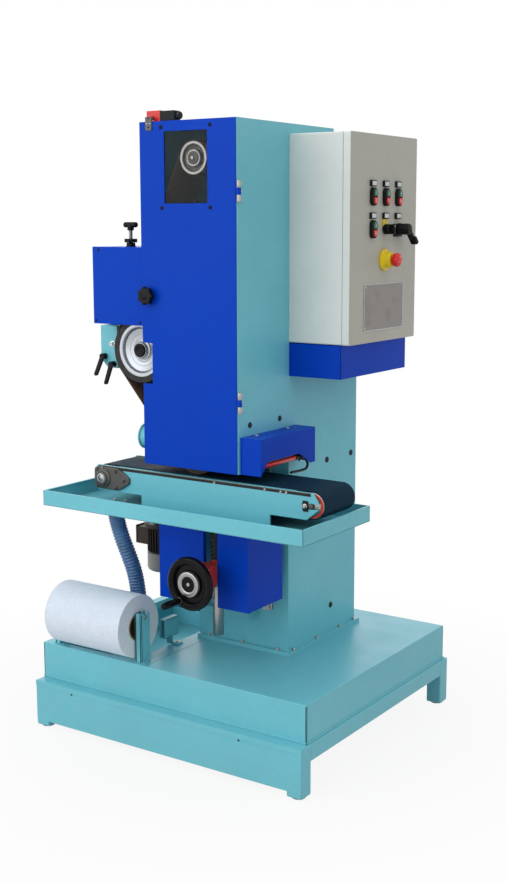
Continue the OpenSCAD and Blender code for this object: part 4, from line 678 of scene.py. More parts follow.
# ---------- stand and tank
def stand():
    p = Piece("stand", "machine", "teal_paint", "teal", "base_frame")
    x0, x1, y0, y1, top, tube = -377, 613, -96, 807, 150, 50
    for x in (x0, x1 - tube):
        for y in (y0, y1 - tube):
            p.box((x, y, 4), (x + tube, y + tube, top), 4, 3)
            p.rod((x + tube / 2, y + tube / 2, 0), (x + tube / 2, y + tube / 2, 5), 20, 1, key="boot")
    for y in (y0, y1 - tube):
        p.box((x0 + tube - 3, y, top - tube), (x1 - tube + 3, y + tube, top), 4, 3)
    for x in (x0, x1 - tube, (x0 + x1 - tube) / 2):
        p.box((x, y0 + tube - 3, top - tube), (x + tube, y1 - tube + 3, top), 4, 3)
    # the skirt, with its rolled lower edge
    p.box((x0 + 1, y0 - 0.5, 20), (x1 - 1, y0 + 3, top - 1), 1.4, 3)
    p.box((x0 + 3, y0 + 0.5, 20), (x1 - 3, y0 + 14, 23), 1.2)
    # weld beads at the corners
    for x in (x0 + tube, x1 - tube):
        for y in (y0 + tube, y1 - tube):
            bead = [(x + random.uniform(-0.6, 0.6), y + random.uniform(-0.6, 0.6), z)
                    for z in range(100, 149, 3)]
            p.sweep(bead, circle(0, 0, 2.6, 8))
    # folded lip along the top of the skirt, with two small holes under it drawn as dark discs of painted shade
    p.box((x0 + 0.6, y0 - 1.5, top - 17), (x1 - 0.6, y0 + 3, top - 0.4), 0.8)
    for x in (x0 + 150, x0 + 780):
        p.rod((x, y0 - 1.7, 131), (x, y0 + 0.6, 131), 3.4, 0.3, 20, "seal")
    p.done()


def tank():
    p = Piece("tank", "machine", "teal_paint", "teal", "coolant_tank")
    x0, x1, y0, y1, z0, z1, t = -377, 604, -57, 789, 150, 263, 5
    bx0, bx1, by0, by1 = -343, -27, -30, 670
    # deck with the open basin, rounded over at its outer edges
    p.prism(rect(x0, y0, x1, y1, 3), "z", z1 - t, z1, 2.2, 3, holes=[rect(bx0, by0, bx1, by1, 6)])
    wall = z1 - 1.5
    p.boxes([((x0, y0, z0), (x1, y0 + t, wall)), ((x0, y1 - t, z0), (x1, y1, wall)),
             ((x0, y0, z0), (x0 + t, y1, wall)), ((x1 - t, y0, z0), (x1, y1, wall))], 1.5)
    p.box((x0, y0, z0), (x1, y1, z0 + t))
    # the basin's folded rim and the wall beside it
    low, high = 236, z1 - 0.5
    p.boxes([((bx0 - 2, by0 - 2, low), (bx0, by1 + 2, high)),
             ((bx1, by0 - 2, z0 + t), (bx1 + 5, by1 + 2, high)), ((bx0, by0 - 2, low), (bx1, by0, high)),
             ((bx0, by1, low), (bx1, by1 + 2, high))], 0.6)
    # lip at the foot of the tank
    p.boxes([((x0, y0 - 3, z0), (x1 + 3, y0 + 1, z0 + 7)), ((x1 - 1, y0 - 3, z0), (x1 + 3, y1 + 3, z0 + 7))],
             1.2)
    # sludge guard across the basin and a seam where the deck plates meet
    p.box((bx0, 560, 170), (bx1, 563, 225), 0.6)
    p.box((bx1 + 60, y0 + 4, z1 - 0.6), (bx1 + 61.2, 250, z1 + 0.25), 0.2, 1, "seal")
    p.done()


# ---------- column, head and door
def head_details():
    """Seals, screws and covers on the column that the CAD node carries plainly."""
    p = Piece("head_details", "machine", "steel", "seal")
    # rubber seal of the door along the head's front edge
    y, low, high, side = 6.2, DOOR_FOOT + 12, DOOR_TOP - 10, HEAD_SIDE - 12
    section = rect(-2.4, -2.8, 2.4, 2.8, 1.2, 3)
    corners = [(10, y, low), (side, y, low), (side, y, high), (60, y, high)]
    for a, b in zip(corners, corners[1:]):
        p.sweep([a, b], section)
    # screws of the foot flange
    for x, y in [(343.5, y) for y in (285, 420, 560, 650)] + [(x, 256.5) for x in (40, 168, 300)]:
        p.bolt((x, y, 275), UP, 4.2, "hex")
    # screwed covers in the back of the column, with air slots in the lower one whose openings are dark strips
    # of painted shade
    for y, low, high in ((664, 330, 1030), (510.9, 1300, 1800)):
        p.prism(rect(38, low, 299, high, 6), "y", y - 1, y + 1.6, 0.6, key="teal")
        spots = [(x, z) for x in (50, 168.5, 287) for z in (low + 12, high - 12)]
        spots += [(x, low + (high - low) * share) for x in (50, 287) for share in (0.34, 0.66)]
        for x, z in spots:
            p.pan((x, y + 1.6, z), BACK, 4, 2)
    for i in range(7):
        z = 930 - 22 * i
        p.box((98, 665, z), (239, 669, z + 6), 1.6, 3, "teal")
        # the dark strip under each louvre stands for its opening: painted shade
        p.box((100, 665.2, z - 5), (237, 665.9, z + 1), 0.1, 1)
    # seam caps on the roof, round the belt room
    for x in (22, 315):
        for y in (70, 230, 400):
            p.pan((x, y, DOOR_TOP), UP, 3.4, 2, "black")
    p.done()


def plugs():
    p = Piece("column_plugs", "machine", "black_plastic", "satin")
    deep, tall = 401, 605          # the column's side, measured from its foot corner
    for u, v in ((0.55, 0.95), (0.92, 0.95), (0.62, 0.16)):
        p.lathe((HEAD_SIDE, 263 + deep * u, 263 + tall * v), RIGHT, [(0, 0), (9.5, 0), (9.5, 1.2), (8.4, 2.4),
            (3, 3.2), (0, 3.3)], 28)
    p.done()


def door():
    p = Piece("door_panel", "door", "blue_paint", "blue", "front_door")
    z0, z1, x1, t = DOOR_FOOT, DOOR_TOP, 334, 3
    notch = [(0, z0), (x1, z0), (x1, z1), (0, z1), (0, z0 + 357), (35, z0 + 357), (35, z0 + 238),
        (0, z0 + 238)]
    window = rect(88, 1623, 238, 1822, 2, 3)
    p.prism(notch, "y", 0, t, 1.1, 3, holes=[window, circle(STAR_X, STAR_Z, 6.2, 24)])
    # stiffening strips behind the face
    p.boxes([((4, t - 0.5, z0 + 2), (x1 - 4, t + 0.3, z0 + 20)),
             ((x1 - 18, t - 0.5, z0 + 2), (x1 - 1, t + 0.3, z1 - 2))], 0.2)
    for z in HINGES:
        p.prism(rect(x1 - 3, z + 20.5, HINGE_X, z + 39.5), "y", 0, t, 0.5)
        p.rod(HINGE(z + 20.5), HINGE(z + 39.5), 6, 0.8, 28, bore=3.1)
    p.done()


def window_fittings():
    p = Piece("window_seal", "door", "black_plastic", "seal")
    # thin dark seal round the opening
    loop = [(x, 4.6, z) for x, z in rect(86.4, 1621.4, 239.6, 1823.6, 4, 4)]
    p.sweep(loop, circle(0, 0, 1.4, 8), up=BACK, closed=True)
    for x in (78, 248):
        for z in (1611, 1834):
            p.pan((x, 0, z), FRONT, 5.6, 3, "black")
            p.rod((x, 7.1, z), (x, 9.4, z), 5, 0.3, 6, "zinc")
    p.done()
    g = Piece("window_glass", "door", "pane", "glass", "window_pane")
    g.prism(rect(74, 1609, 252, 1836, 3), "y", 3.1, 6.9, 0.4)
    g.done()


def hinges():
    p = Piece("hinge_leaves", "machine", "steel", "turned", "door_hinges")
    for z in HINGES:
        for low in (z, z + 40):
            p.rod(HINGE(low), HINGE(low + 20), 6, 0.7, 28, bore=3.02)
            p.box((HEAD_SIDE, 1.5, low), (340, 9, low + 20), 0.6)
        p.box((HEAD_SIDE, 7.5, z), (340, 30, z + 60), 0.9, 3, "teal")
        for dz in (9, 30, 51):
            p.pan((340, 20, z + dz), RIGHT, 3, 1.4)
    p.done()


def star_knob():
    p = Piece("star_grip", "star", "black_plastic", "black", "door_knob")
    lobes, size, wave = 7, 25, 2.2
    p.prism(wavy(STAR_X, STAR_Z, 72, lambda a: size + wave * math.cos(lobes * a)), "y", -24, -9, 4.2, 4)
    p.lathe(STAR(-24), FRONT, [(14, -1), (12, 0.2), (0, 0.6)], 40)
    p.lathe(STAR(-10), BACK, [(16, 0), (12, 3), (9.6, 5.5), (9.6, 9.4), (0, 9.4)], 40)
    p.rod(STAR(-1), STAR(7.4), 5.9, 0.3, 28, "zinc")
    p.rod(STAR(3.6), STAR(7.4), 9, 0.6, 6, "zinc")
    p.done()


def lock_parts():
    """The actuator on the door and the interlock switch on the roof."""
    k = Piece("switch_actuator", "door", "steel", "cast", "door_key")
    k.prism(rect(24, 1826, 47, 1864, 3), "y", -3, 0, 0.6, holes=[circle(35.5, 1835, 2.4, 16)])
    k.box((29.5, -3, 1858), (41.5, 30, 1861), 0.7)
    for x in (30, 41):
        k.pan((x, -3, 1845), FRONT, 2.4, 1.8)
    k.done()
    p = Piece("interlock", "machine", "red_paint", "scarlet", "interlock_switch")
    p.prism([(15, 1851), (64, 1851), (64, 1882), (15, 1882), (15, 1865.2), (44.6, 1865.2), (44.6, 1854.2),
        (15, 1854.2)], "y", 15, 45, 1.6, 3)
    p.box((15.5, 33, 1852), (63, 44.5, 1881), 1.5)
    p.box((62, 15, 1851), (114, 45, 1880.3), 2.5, 3, "satin")
    p.rod((112, 30, 1866.5), (126, 30, 1866.5), 10.2, 1.2, key="satin")
    p.lathe((119, 30, 1866.5), RIGHT, [(0, 0), (10.3, 0), (10.3, 5.5), (7, 6.9), (0, 6.9)], 6, "steel")
    for x in (70, 106):
        for y in (19, 41):
            p.pan((x, y, 1880), UP, 2.2, 1)
    p.done()


# ---------- side wheel and belt train
def tension_wheel():
    p = Piece("wheel_disc", "tension_wheel", "steel", "alu", "side_wheel")
    c = WHEEL(WHEEL_FACE)
    p.lathe(c, BACK, [(66, 16), (67, 3), (69, 0.6), (71, 0), (78.2, 0), (79, 0.8), (79, 149.2), (78.2, 150),
        (70, 150), (68, 148), (66, 120), (66, 16)], 72)
    p.lathe(c, BACK, [(12.1, 1), (13, 0), (22, 0), (24, 2), (25, 9), (29, 11), (29, 20), (24, 22), (24, 148),
        (22, 150), (12.1, 150), (12.1, 1)])
    p.lathe(c, BACK, [(67.5, 15), (63, 9.5), (56, 12), (44, 15), (32, 16.4), (24.5, 15.5), (24, 22),
        (67.5, 22), (67.5, 15)], 72)
    for r, y in ((34, 16.2), (47, 14.4)):
        p.lathe(c, BACK, [(r, y), (r + 1.2, y - 1.2), (r + 2.4, y)], 64)
    p.lathe(WHEEL(29.8), FRONT, [(0, 0), (20.4, 0), (20.4, 3), (18.6, 5), (12, 6), (10, 5), (0, 5)],
        key="black")
    p.done()
    t = Piece("wheel_tyre", "tension_wheel", "black_rubber", "tyre", "side_wheel_tyre")
    profile = [(79.05, 1), (80, 0), (94.5, 0), (96.6, 1.4)]
    for y in range(4, 148, 8):
        profile += [(97, y), (97, y + 4.6), (96, y + 5.4), (96, y + 7.2)]
    t.lathe(c, BACK, profile + [(96.6, 148.6), (94.5, 150), (80, 150), (79.05, 149), (79.05, 1)], 72)
    t.done()


def upper_pulley():
    p = Piece("pulley_turned", "top_pulley", "steel", "turned", "upper_pulley")
    c = PULLEY(WHEEL_FACE)
    p.lathe(c, BACK, [(12.1, 1), (23, 0), (24, 1), (25, 12), (35, 13), (37, 11), (38, 1.4), (39.4, 0),
        (45.6, 0), (47, 1.4), (47, 148.6), (45.6, 150), (39.4, 150), (38, 148), (37, 138), (25, 138),
        (24, 149), (12.1, 150), (12.1, 1)], 64)
    p.lathe(c, BACK, [(25.2, 11.6), (37, 12.6), (37, 13.4), (25.2, 12.6), (25.2, 11.6)], 64, "cast")
    p.lathe(c, BACK, [(29, 12), (30, 10.6), (31, 12)], 56)
    p.lathe(PULLEY(29.6), FRONT, [(0, 0), (18, 0), (18, 1.2), (12, 2.2), (0, 2.4)], 36, "cast")
    p.bolt(PULLEY(27.3), FRONT, 5, "hex", False, 3.4)
    p.done()


def wheel_bracket():
    p = Piece("wheel_casting", "machine", "teal_paint", "teal", "wheel_bracket")
    x0, x1, z0, z1 = -231.6, -165.6, 1132, 1261      # the cast ear that holds the clamp levers
    corner = [(x0, 1158), (x0 + 26, z0)]
    p.prism([(x0, z1)] + corner + [(35.6, z0), (35.6, z1)], "y", 186, 196, 3, 3)
    p.prism([(x0, z1)] + corner + [(x1, z0), (x1, z1)], "y", 80, 85.5, 2.2, 3)
    p.boxes([((x0, 82, 1158), (x0 + 5, 187, z1)), ((x1 - 5, 82, z0), (x1, 187, z1))], 2)
    p.prism(corner + [(x1, z0), (x1, 1158), (x0 + 5, 1163)], "y", 82, 187, 1.6)
    p.box((-56, 195, z0), (0, 250, z1), 3, 3)
    for z in (1150, 1243):
        p.bolt((-110, 186, z), FRONT, 6)
        p.bolt((-28, 195, z), FRONT, 5)
    p.bolt((-184, 80, 1206), FRONT, 6.4, key="chrome")
    p.rod(WHEEL(29.8), WHEEL(187), 11.9, 1, key="steel")
    for x, z in ((-213.6, 1167), (-179.1, 1144.6)):
        p.rod((x, 63.8, z), (x, 80.5, z), 3.9, 0.4, 20, "steel")
    p.done()


def tracking_knobs():
    p = Piece("tracking_handle", "adjuster", "black_plastic", "black", "adjust_knob")
    turns, pitch = 40, 1.5
    thread = [(0, 0), (5, 0)]
    for i in range(turns):
        thread += [(5.9, 0.8 + pitch * i), (5.2, 1.5 + pitch * i)]
    p.lathe(TRACK(1488), UP, thread + [(5, 62), (0, 62)], 28, "steel")
    p.box((TRACK_X - 24.5, TRACK_Y - 9, 1556), (TRACK_X + 24.5, TRACK_Y + 9, 1572), 7, 5)
    p.rod(TRACK(1547.6), TRACK(1566), 9.9, 1.6, 36)
    p.done()
    k = Piece("tracking_lock", "locker", "black_plastic", "black", "lock_knob")
    notched = wavy(TRACK_X, TRACK_Y, 120, lambda a: 18.2 + 0.8 * max(-1, min(1, 2.2 * math.cos(10 * a))))
    k.prism(notched, "z", 1512.6, 1523.4, 1.6, 3, holes=[circle(TRACK_X, TRACK_Y, 6.1, 28)])
    k.done()


def guard():
    p = Piece("belt_guard", "machine", "blue_paint", "blue", "side_guard")
    x0, y0, y1, z0, z1 = -190, 4, 208, 1273, 1500
    face = rect(x0, z0, 0, z1)
    p.prism(face, "y", y0, y0 + 2, 0.8, 3)
    p.prism(face, "y", y1 - 2, y1, 0.8, 3)
    p.box((x0, 4.4, z0), (x0 + 2, 207.6, z1), 0.8)
    p.prism(rect(-189.6, 4.4, -14, 207.6), "z", z1 - 2, z1, 0.6, holes=[circle(TRACK_X, TRACK_Y, 6.3, 28)])
    p.boxes([((-14.6, 4.4, z1 - 2), (0, 24, z1)), ((-14.6, 188, z1 - 2), (0, 207.6, z1))], 0.4)
    # raised lip over the gap that the belt passes through
    low, high = z1 - 1.6, z1 + 40
    p.boxes([((-16, 22, low), (-14, 190, high)), ((-16, 22, high - 2), (0, 190, high)),
             ((-16, 22, low), (0, 24, high)), ((-16, 188, low), (0, 190, high))], 0.6)
    p.lathe(TRACK(z1), UP, [(6.15, 0), (15, 0), (15, 2), (13.6, 3), (13.2, 10.6), (12, 12), (6.15, 12),
        (6.15, 0)], 40, "black")
    for x, z in ((-166, 1491), (-181, 1282), (-12, 1282)):
        p.pan((x, y0, z), FRONT, 4, 2, "black")
    p.done()


# ---------- feed table
def tray():
    p = Piece("drip_tray", "table", "teal_paint", "teal", "tray")
    x0, x1, y0, y1, z0, z1, t = -313, 621, -106, 255, 722, 768, 3
    notch = 240            # the two guide rails pass the tray in notches that reach in to here
    # floor of the tray, in the darker teal of painted shade
    p.prism([(x0, y0), (x1, y0), (x1, y1), (284, y1), (284, notch), (254, notch), (254, y1), (81, y1),
        (81, notch), (51, notch), (51, y1), (x0, y1)],
        "z", z0, z0 + t, 1, key="matt", holes=[circle(-150, 40, 19, 36)])
    p.boxes([((x0, y0, z0), (x1, y0 + t, z1)), ((x0, y0, z0), (x0 + t, y1, z1)),
             ((x1 - t, y0, z0), (x1, y1, z1))], 1.3, 3)
    p.boxes([((a, y1 - t, z0), (b, y1, z1)) for a, b in ((x0, 51), (81, 254), (284, x1))], 1.2)
    for x in (66, 269):
        p.boxes([((x - 18, notch - t, z0), (x + 18, notch, z1)), ((x - 18, notch - t, z0), (x - 15, y1, z1)),
                 ((x + 15, notch - t, z0), (x + 18, y1, z1))], 0.9)
    # hem folded inwards along the rim
    low, high = z1 - 2.2, z1 - 0.2
    p.boxes([((x0 + 1, y0 + 1, low), (x1 - 1, y0 + 7, high)), ((x0 + 1, y0 + 1, low), (x0 + 7, y1 - 1, high)),
             ((x1 - 7, y0 + 1, low), (x1 - 1, y1 - 1, high))], 0.9)
    p.rod((-150, 40, 712), (-150, 40, 722.6), 36, 2, 48, bore=19)
    for x, y in spots(-150, 40, 29.5, 4, 45):
        p.bolt((x, y, 725), UP, 3.4, "hex")
    p.done()


SIDES = ((8, -1), (196, 1))        # the outer faces of the conveyor's side plates and their ways


def conveyor():
    p = Piece("conveyor_sides", "table", "teal_paint", "teal", "conveyor_frame")
    outline = [(-203, 830.5), (-190.5, 843), (580.5, 843), (598, 818), (598, 813), (546, 813), (546, 797),
        (598, 797), (560.5, 766), (440, 766), (440, 725), (-22, 725), (-22, 766), (-190.5, 766),
        (-203, 778.5)]
    for y in (8, 190):
        p.prism(outline, "y", y, y + 6, 1.1, 3, holes=[circle(DRIVE_X, DRUM_Z, 10.8, 28)])
    p.box((-112, 11, 838), (520, 193, 842), 0.8)
    for share in (0.25, 0.5, 0.75):
        x = DRIVE_X + (TAIL_X - DRIVE_X) * share
        p.rod((x, 13, 797), (x, 191, 797), 8, 0.5, 28)
    for y, way in SIDES:
        for x in (250, 424, 477, 495):
            p.bolt((x, y, 836), (0, way, 0), 3.6, washer=False)
        # edge of the belt over the plate, with a thin worn line
        low, high = min(y, y + 0.7 * way), max(y, y + 0.7 * way)
        p.box((-186, low, 832.5), (574, high, 842), 0.2, 1, "seal")
        p.box((-184, low - 0.2, 840.4), (572, high + 0.2, 841.4), 0.1, 1, "card")
        # take-up block of the tail roller with its screw
        p.box((549, min(y, y + 3 * way), 790), (566, max(y, y + 3 * way), 820), 0.9, key="satin")
        p.bolt((557, y + way * 3, DRUM_Z), (0, way, 0), 5, "hex")
    p.done()


def drums():
    barrel = [(0, 0), (34.5, 0), (36.4, 0.8), (37, 2.4), (37, 161.6), (36.4, 163.2), (34.5, 164), (0, 164)]
    p = Piece("drive_drum", "drive", "steel", "turned", "drive_roller")
    p.lathe(DRIVE(20), BACK, barrel, 64)
    p.rod(DRIVE(-8), DRIVE(282), 9.95, 1.2, 36, "steel")
    p.done()
    t = Piece("tail_drum", "tail", "steel", "turned", "tail_roller")
    t.lathe(TAIL(20), BACK, barrel, 64)
    for y, way in ((20, FRONT), (184, BACK)):
        t.lathe(TAIL(y), way, [(28, 0), (35, 0), (35, 2.2), (33.8, 3), (29, 3), (28, 2.2), (28, 0)], 56,
            "red")
        t.lathe(TAIL(y), way, [(0, 0), (27.4, 0), (27.4, 2), (24, 2.8), (14, 2.2), (12, 2.9), (0, 2.9)], 48,
            "steel")
    t.rod(TAIL(7), TAIL(197), 7.85, 1, key="cast")
    t.done()


def bearings():
    p = Piece("bearing_castings", "table", "steel", "cast", "drive_bearings")
    half = [(-34, 23.8), (-30, 30), (-20.4, 34), (56.1, 34), (76, 25), (98, 11), (102, 6.8)]
    outline = [(DRIVE_X + x, DRUM_Z + z) for x, z in half + [(x, -z) for x, z in half[::-1]]]
    screws = [(-21, 24.5), (-21, -24.5), (51, 24.5), (51, -24.5), (81.6, 0)]
    for y, way in SIDES:
        out = (0, way, 0)
        low = min(y, y + 8 * way)
        p.prism(outline, "y", low, low + 8, 2.4, 3, holes=[circle(DRIVE_X, DRUM_Z, 11, 28)])
        p.lathe(DRIVE(y + way * 7), out, [(10.3, 0), (31, 0), (30, 4), (26, 6), (22, 6.6), (21.4, 10.2),
            (20, 11), (16, 11), (15.4, 9.8), (10.3, 9.8), (10.3, 0)])
        p.lathe(DRIVE(y + way * 17), out, [(10.1, 0), (15, 0), (15, 0.8), (14, 1), (10.1, 1), (10.1, 0)], 40,
            "steel")
        for x, z in screws:
            p.bolt((DRIVE_X + x, y + way * 8, DRUM_Z + z), out, 4.4, "hex", key="cast")
        p.lathe((DRIVE_X, y + way * 10, 836), UP, [(0, 0), (3, 0), (3, 2), (1.6, 3.4), (2.2, 4.6), (0, 5.4)],
            16, "zinc")
    p.done()


def gearbox():
    p = Piece("worm_gearbox", "table", "grey_paint", "motor", "conveyor_gearbox")
    p.box((-215, 262, 720), (-115, 340, 850), 9, 4)
    p.rod(DRIVE(214), DRIVE(263), 30, 2.4, 48, bore=10.3)
    p.lathe(DRIVE(262), FRONT, [(30, 0), (44, 0), (44, 4), (42, 6), (30, 6), (30, 0)], 56)
    p.lathe(DRIVE(340), BACK, [(0, 0), (40, 0), (40, 1), (0, 1.6)], 56)
    for x, z in spots(DRIVE_X, DRUM_Z, 37, 6, 30):
        p.bolt((x, 256, z), FRONT, 3.4, "hex", False)
    for z in (738, 752):
        p.box((-216, 268, z), (-114, 334, z + 4), 1.4)
    p.rod(MOTOR(608), MOTOR(724), 39, 3, 56)
    p.rod(MOTOR(596), MOTOR(610), 68, 2.4, 64)
    for x, y in spots(DRIVE_X, MOTOR_Y, 58, 4, 45):
        p.bolt((x, y, 610), UP, 4.6, "hex")
    p.done()
    m = Piece("feed_motor", "table", "grey_paint", "motor", "conveyor_motor")
    axis = MOTOR(0)
    fins, slots = 32, 12
    m.rod(MOTOR(512), MOTOR(596), 53, 2, 56)
    for i in range(fins):
        m.box((-112.6, 299.9, 516), (-105.4, 302.1, 592), 0.7, matrix=about(axis, "Z", 360 / fins * i + 5))
    m.box((-256, 263, 533), (-205, 339, 590), 4, 3)
    m.box((-258, 261, 534.5), (-253, 341, 594.6), 2, 3)
    m.rod((-232, MOTOR_Y, 533.5), (-232, MOTOR_Y, 531), 9, 0.6, 28, "satin")
    for y in (267, 335):
        for z in (541, 588):
            m.pan((-258, y, z), LEFT, 2.6, 0.6)
    m.lathe(MOTOR(512), DOWN, [(0, 0), (59, 0), (60, 1.2), (60, 50), (57, 57), (50, 61), (46, 61), (46, 59),
        (14, 59), (14, 61), (0, 61)], 64, "cowl")
    # dark strips in the cowl's foot stand for its air slots: painted shade
    for i in range(slots):
        m.box((-150, 299.8, 450.4), (-120, 302.2, 453.4), 0.2, 1, "seal", about(axis, "Z", 360 / slots * i))
    m.done()


# ---------- table lift
def jack():
    p = Piece("jack_gearbox", "machine", "red_paint", "red", "jack_housing")
    p.prism([(165, 581), (165, 521), (168.5, 512.5), (177, 509), (213, 509), (221.5, 512.5), (225, 521),
        (225, 581)], "y", 18, 52, 2.2, 3, holes=[circle(SCREW_X, JACK_Z, 8.3, 28)])
    p.box((176, 51, 509), (215, 125, 577), 4, 3)
    for low, r, bevel in ((508, 19, 2), (577, 21.4, 1)):
        p.rod(SCREW(low), SCREW(583), r, bevel, 48, bore=10.6)
    p.lathe(JACK(18), FRONT, [(9, 0), (17, 0), (17, 2.4), (15.4, 3.4), (9, 3.4), (9, 0)], 40)
    for x in (173, 217):
        for z in (519, 571):
            p.bolt((x, 18, z), FRONT, 3.6, washer=False)
    p.bolt((176, 88, 545), LEFT, 5, "hex")
    # the protection tube of the screw
    p.lathe(SCREW(350), UP, [(10.8, 0), (15.4, 0), (16, 0.8), (16, 158), (12, 159), (12, 3), (10.8, 3),
        (10.8, 0)], key="turned")
    p.lathe(SCREW(500), UP, [(16, 0), (20, 0), (20, 8.6), (16, 8.6)], 6, "zinc")
    p.done()
    b = Piece("screw_boot", "machine", "black_rubber", "boot", "bellows")
    folds, per, height = 10, 8, 139.4
    profile = [(13.4, 0), (19.4, 0), (19.4, 3)]
    for i in range(folds * per + 1):
        wave = 0.5 - 0.5 * math.cos(2 * math.pi * i / per)
        profile.append((17.6 + 4.4 * wave ** 0.8, 4 + (height - 8) * i / (folds * per)))
    profile += [(19.4, height - 3), (19.4, height), (13.4, height), (13.4, 0)]
    b.lathe(SCREW(582), UP, profile)
    boot = b.done(auto=70)
    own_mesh(boot)


def handwheel():
    p = Piece("lift_handwheel", "lift_wheel", "black_plastic", "black", "handwheel")
    c = JACK(-50)
    p.lathe(c, BACK, [(0, 2), (32, 2), (33, 3), (40, 4), (42, 11), (56, 12.6), (60, 4), (63, 0.8), (67, 0),
        (73, 0), (77.4, 2.2), (79.6, 6), (80, 10), (79.6, 14), (77, 17.6), (72, 19.6), (64, 19.6), (60, 17),
        (56, 18.6), (24, 18.6), (22, 20), (22, 27), (21, 28), (0, 28)], 72)
    p.lathe(c, BACK, [(23, 4), (23, -1.4), (24, -2.4), (27, -2.9), (34, -2.7), (36.6, -1.8), (37.6, 0),
        (38, 5), (23, 4)], 64, "turned")
    p.lathe(c, BACK, [(0, 0.4), (7, 0.4), (8, 1.6), (14, 2.6), (23.4, 2.8), (23.4, 4.2), (0, 4.2)], 56)
    p.lathe(JACK(-49.8), FRONT, [(0, 0), (5.4, 0), (5.4, 1.6), (4.6, 2.4), (2, 2.7), (1.6, 1.6), (0, 1.5)],
        24, "steel")
    p.rod(JACK(-23), JACK(51.5), 7.95, 0.8, key="steel")
    for y0, y1, r, bevel, sides in ((-114, -44, 4.9, 0.6, 24), (-50.4, -48, 9, 0.4, 6)):
        p.rod(GRIP(y0), GRIP(y1), r, bevel, sides, "steel")
    p.done()
    g = Piece("wheel_grip", "lift_grip", "black_plastic", "black", "handwheel_grip")
    g.lathe(GRIP(-50.5), FRONT, [(5.1, 0), (7.2, 0), (8, 1.4), (8, 5), (8.6, 10), (9.9, 24), (10.8, 40),
        (11, 52), (10.7, 66), (9.2, 74.6), (6, 78.8), (2.6, 79.8), (0, 80), (0, 66.6), (5.1, 66.6), (5.1, 0)],
        40)
    g.done()


# ---------- filter roll
def roll_parts():
    p = Piece("roll_arms", "machine", "teal_paint", "teal", "roll_brackets")
    slot = [(-24 + 7.1 * math.cos(math.radians(a)), 402.5 + 7.1 * math.sin(math.radians(a)))
            for a in range(0, -181, -20)]
    side = [(-45, 263), (-3, 263), (-3, 415), (-16.9, 415), *slot, (-31.1, 415), (-45, 415)]
    for x in (-12, -337):
        for low in (x, x + 18):
            p.prism(side, "x", low, low + 6, 1.1)
        p.box((x, -45, 263), (x + 24, -39, 415), 1.4)
        p.box((x + 1, -44, 263), (x + 23, -4, 269), 0.8)
        p.box((x - 8, -42, 263), (x + 32, -8, 266))
        for bx in (x - 3.6, x + 27.6):
            p.bolt((bx, -25, 266), UP, 3, "hex", False)
    p.rod((-337, -24, 402.5), (12, -24, 402.5), 6.95, 1, key="steel")
    # the small guide box behind the roll, on its post
    p.boxes([((-47, 115, 288), (-25, 185, 291)), ((-47, 115, 345), (-25, 185, 348)),
             ((-47, 115, 288), (-44, 185, 348)), ((-28, 115, 288), (-25, 185, 348))], 0.9)
    p.boxes([((-47, 150, 263), (-25, 156, 289)), ((-31, 150, 263), (-1, 174, 269))])
    p.bolt((-12, 162, 269), UP, 4, "hex")
    p.done()
    r = Piece("filter_roll", "roll", "filter_paper", "paper", "paper_roll")
    rows = 24
    middle = [(96 - 0.35 * (0.5 + 0.5 * math.sin(k * 1.9)), 4 + 287 * k / rows) for k in range(rows + 1)]
    r.lathe(ROLL, RIGHT, [(95.9, 2), (95.9, 4)] + middle + [(95.9, 293)], 96)
    r.lathe(ROLL, RIGHT, [(44.6, 5), (44.6, 0.6), (48, 0.3), (70, 0), (93.8, 0.2), (95.3, 0.7), (95.9, 2)],
        96, "paper_end")
    r.lathe(ROLL, RIGHT, [(95.9, 293), (95.3, 294.3), (93.8, 294.8), (70, 295), (48, 294.7), (44.6, 294.4),
        (44.6, 290)], 96, "paper_end")
    r.lathe(ROLL, RIGHT, [(40, 0), (44.8, 0), (44.8, 295), (40, 295), (40, 0)], 64, "card")
    r.done()


# ---------- exit hood and trip bar
def hood():
    p = Piece("exit_guard", "machine", "blue_paint", "blue", "exit_hood")
    z0, z1 = 868, 973
    p.prism([(12, z0), (14, z0), (49, 905), (213.6, 905), (271.2, 870), (271.2, z0), (300, z0), (300, z1),
        (12, z1)], "x", HOOD_SIDE - 2, HOOD_SIDE, 0.8, 3)
    edge = HOOD_SIDE - 0.4
    p.boxes([((HEAD_SIDE, 12, z1 - 2), (edge, 300, z1)), ((HEAD_SIDE, 12, z0), (edge, 14, z1 - 0.4)),
             ((HEAD_SIDE, 298, z0), (edge, 300, z1 - 0.4))], 0.9, 3)
    for y in (72, 234):
        p.bolt((352, y, z1), UP, 4.4, "pan", h=2)
    for y in (60, 214):
        p.lathe((HEAD_SIDE, y, 1003), RIGHT, [(0, 0), (8.4, 0), (8.4, 1.4), (7, 2.8), (0, 3.2)], 28, "satin")
    p.box((376, 213, 901.6), (405, 263, 971.6), 2, 3, "satin")
    p.rod((393, 238, 877), (393, 238, 902), 3.9, 0.5, 24, "steel")
    p.rod((393, 238, 877), (393, 238, 880.4), 6.2, 0.6, 6, "steel")
    p.done()
    x, z = 393, 892            # the axis of the bar
    t = Piece("trip_rod", "trip", "red_paint", "satin", "trip_bar")
    t.rod((x, 28, z), (x, 208.5, z), 7, 2.6, 36, "scarlet")
    t.rod((x, 208, z), (x, 230, z), 8, 1)
    t.rod((x, 238, 883), (x, 238, 901), 10, 1, 36, bore=4.1)
    bend = [(246, z), (254, 890), (270, 878), (280, 864), (277, 854), (264, 849), (230, 849), (190, 851)]
    t.sweep(smooth_path([(x, v, w) for v, w in bend], 42), circle(0, 0, 3.9, 16))
    t.lathe((x, 190, 851), FRONT, [(3.9, 0), (3.2, 2.4), (0, 3.6)], 16)
    t.done()


# ---------- cabinet
PANEL_HINGES = (1292, 1692)


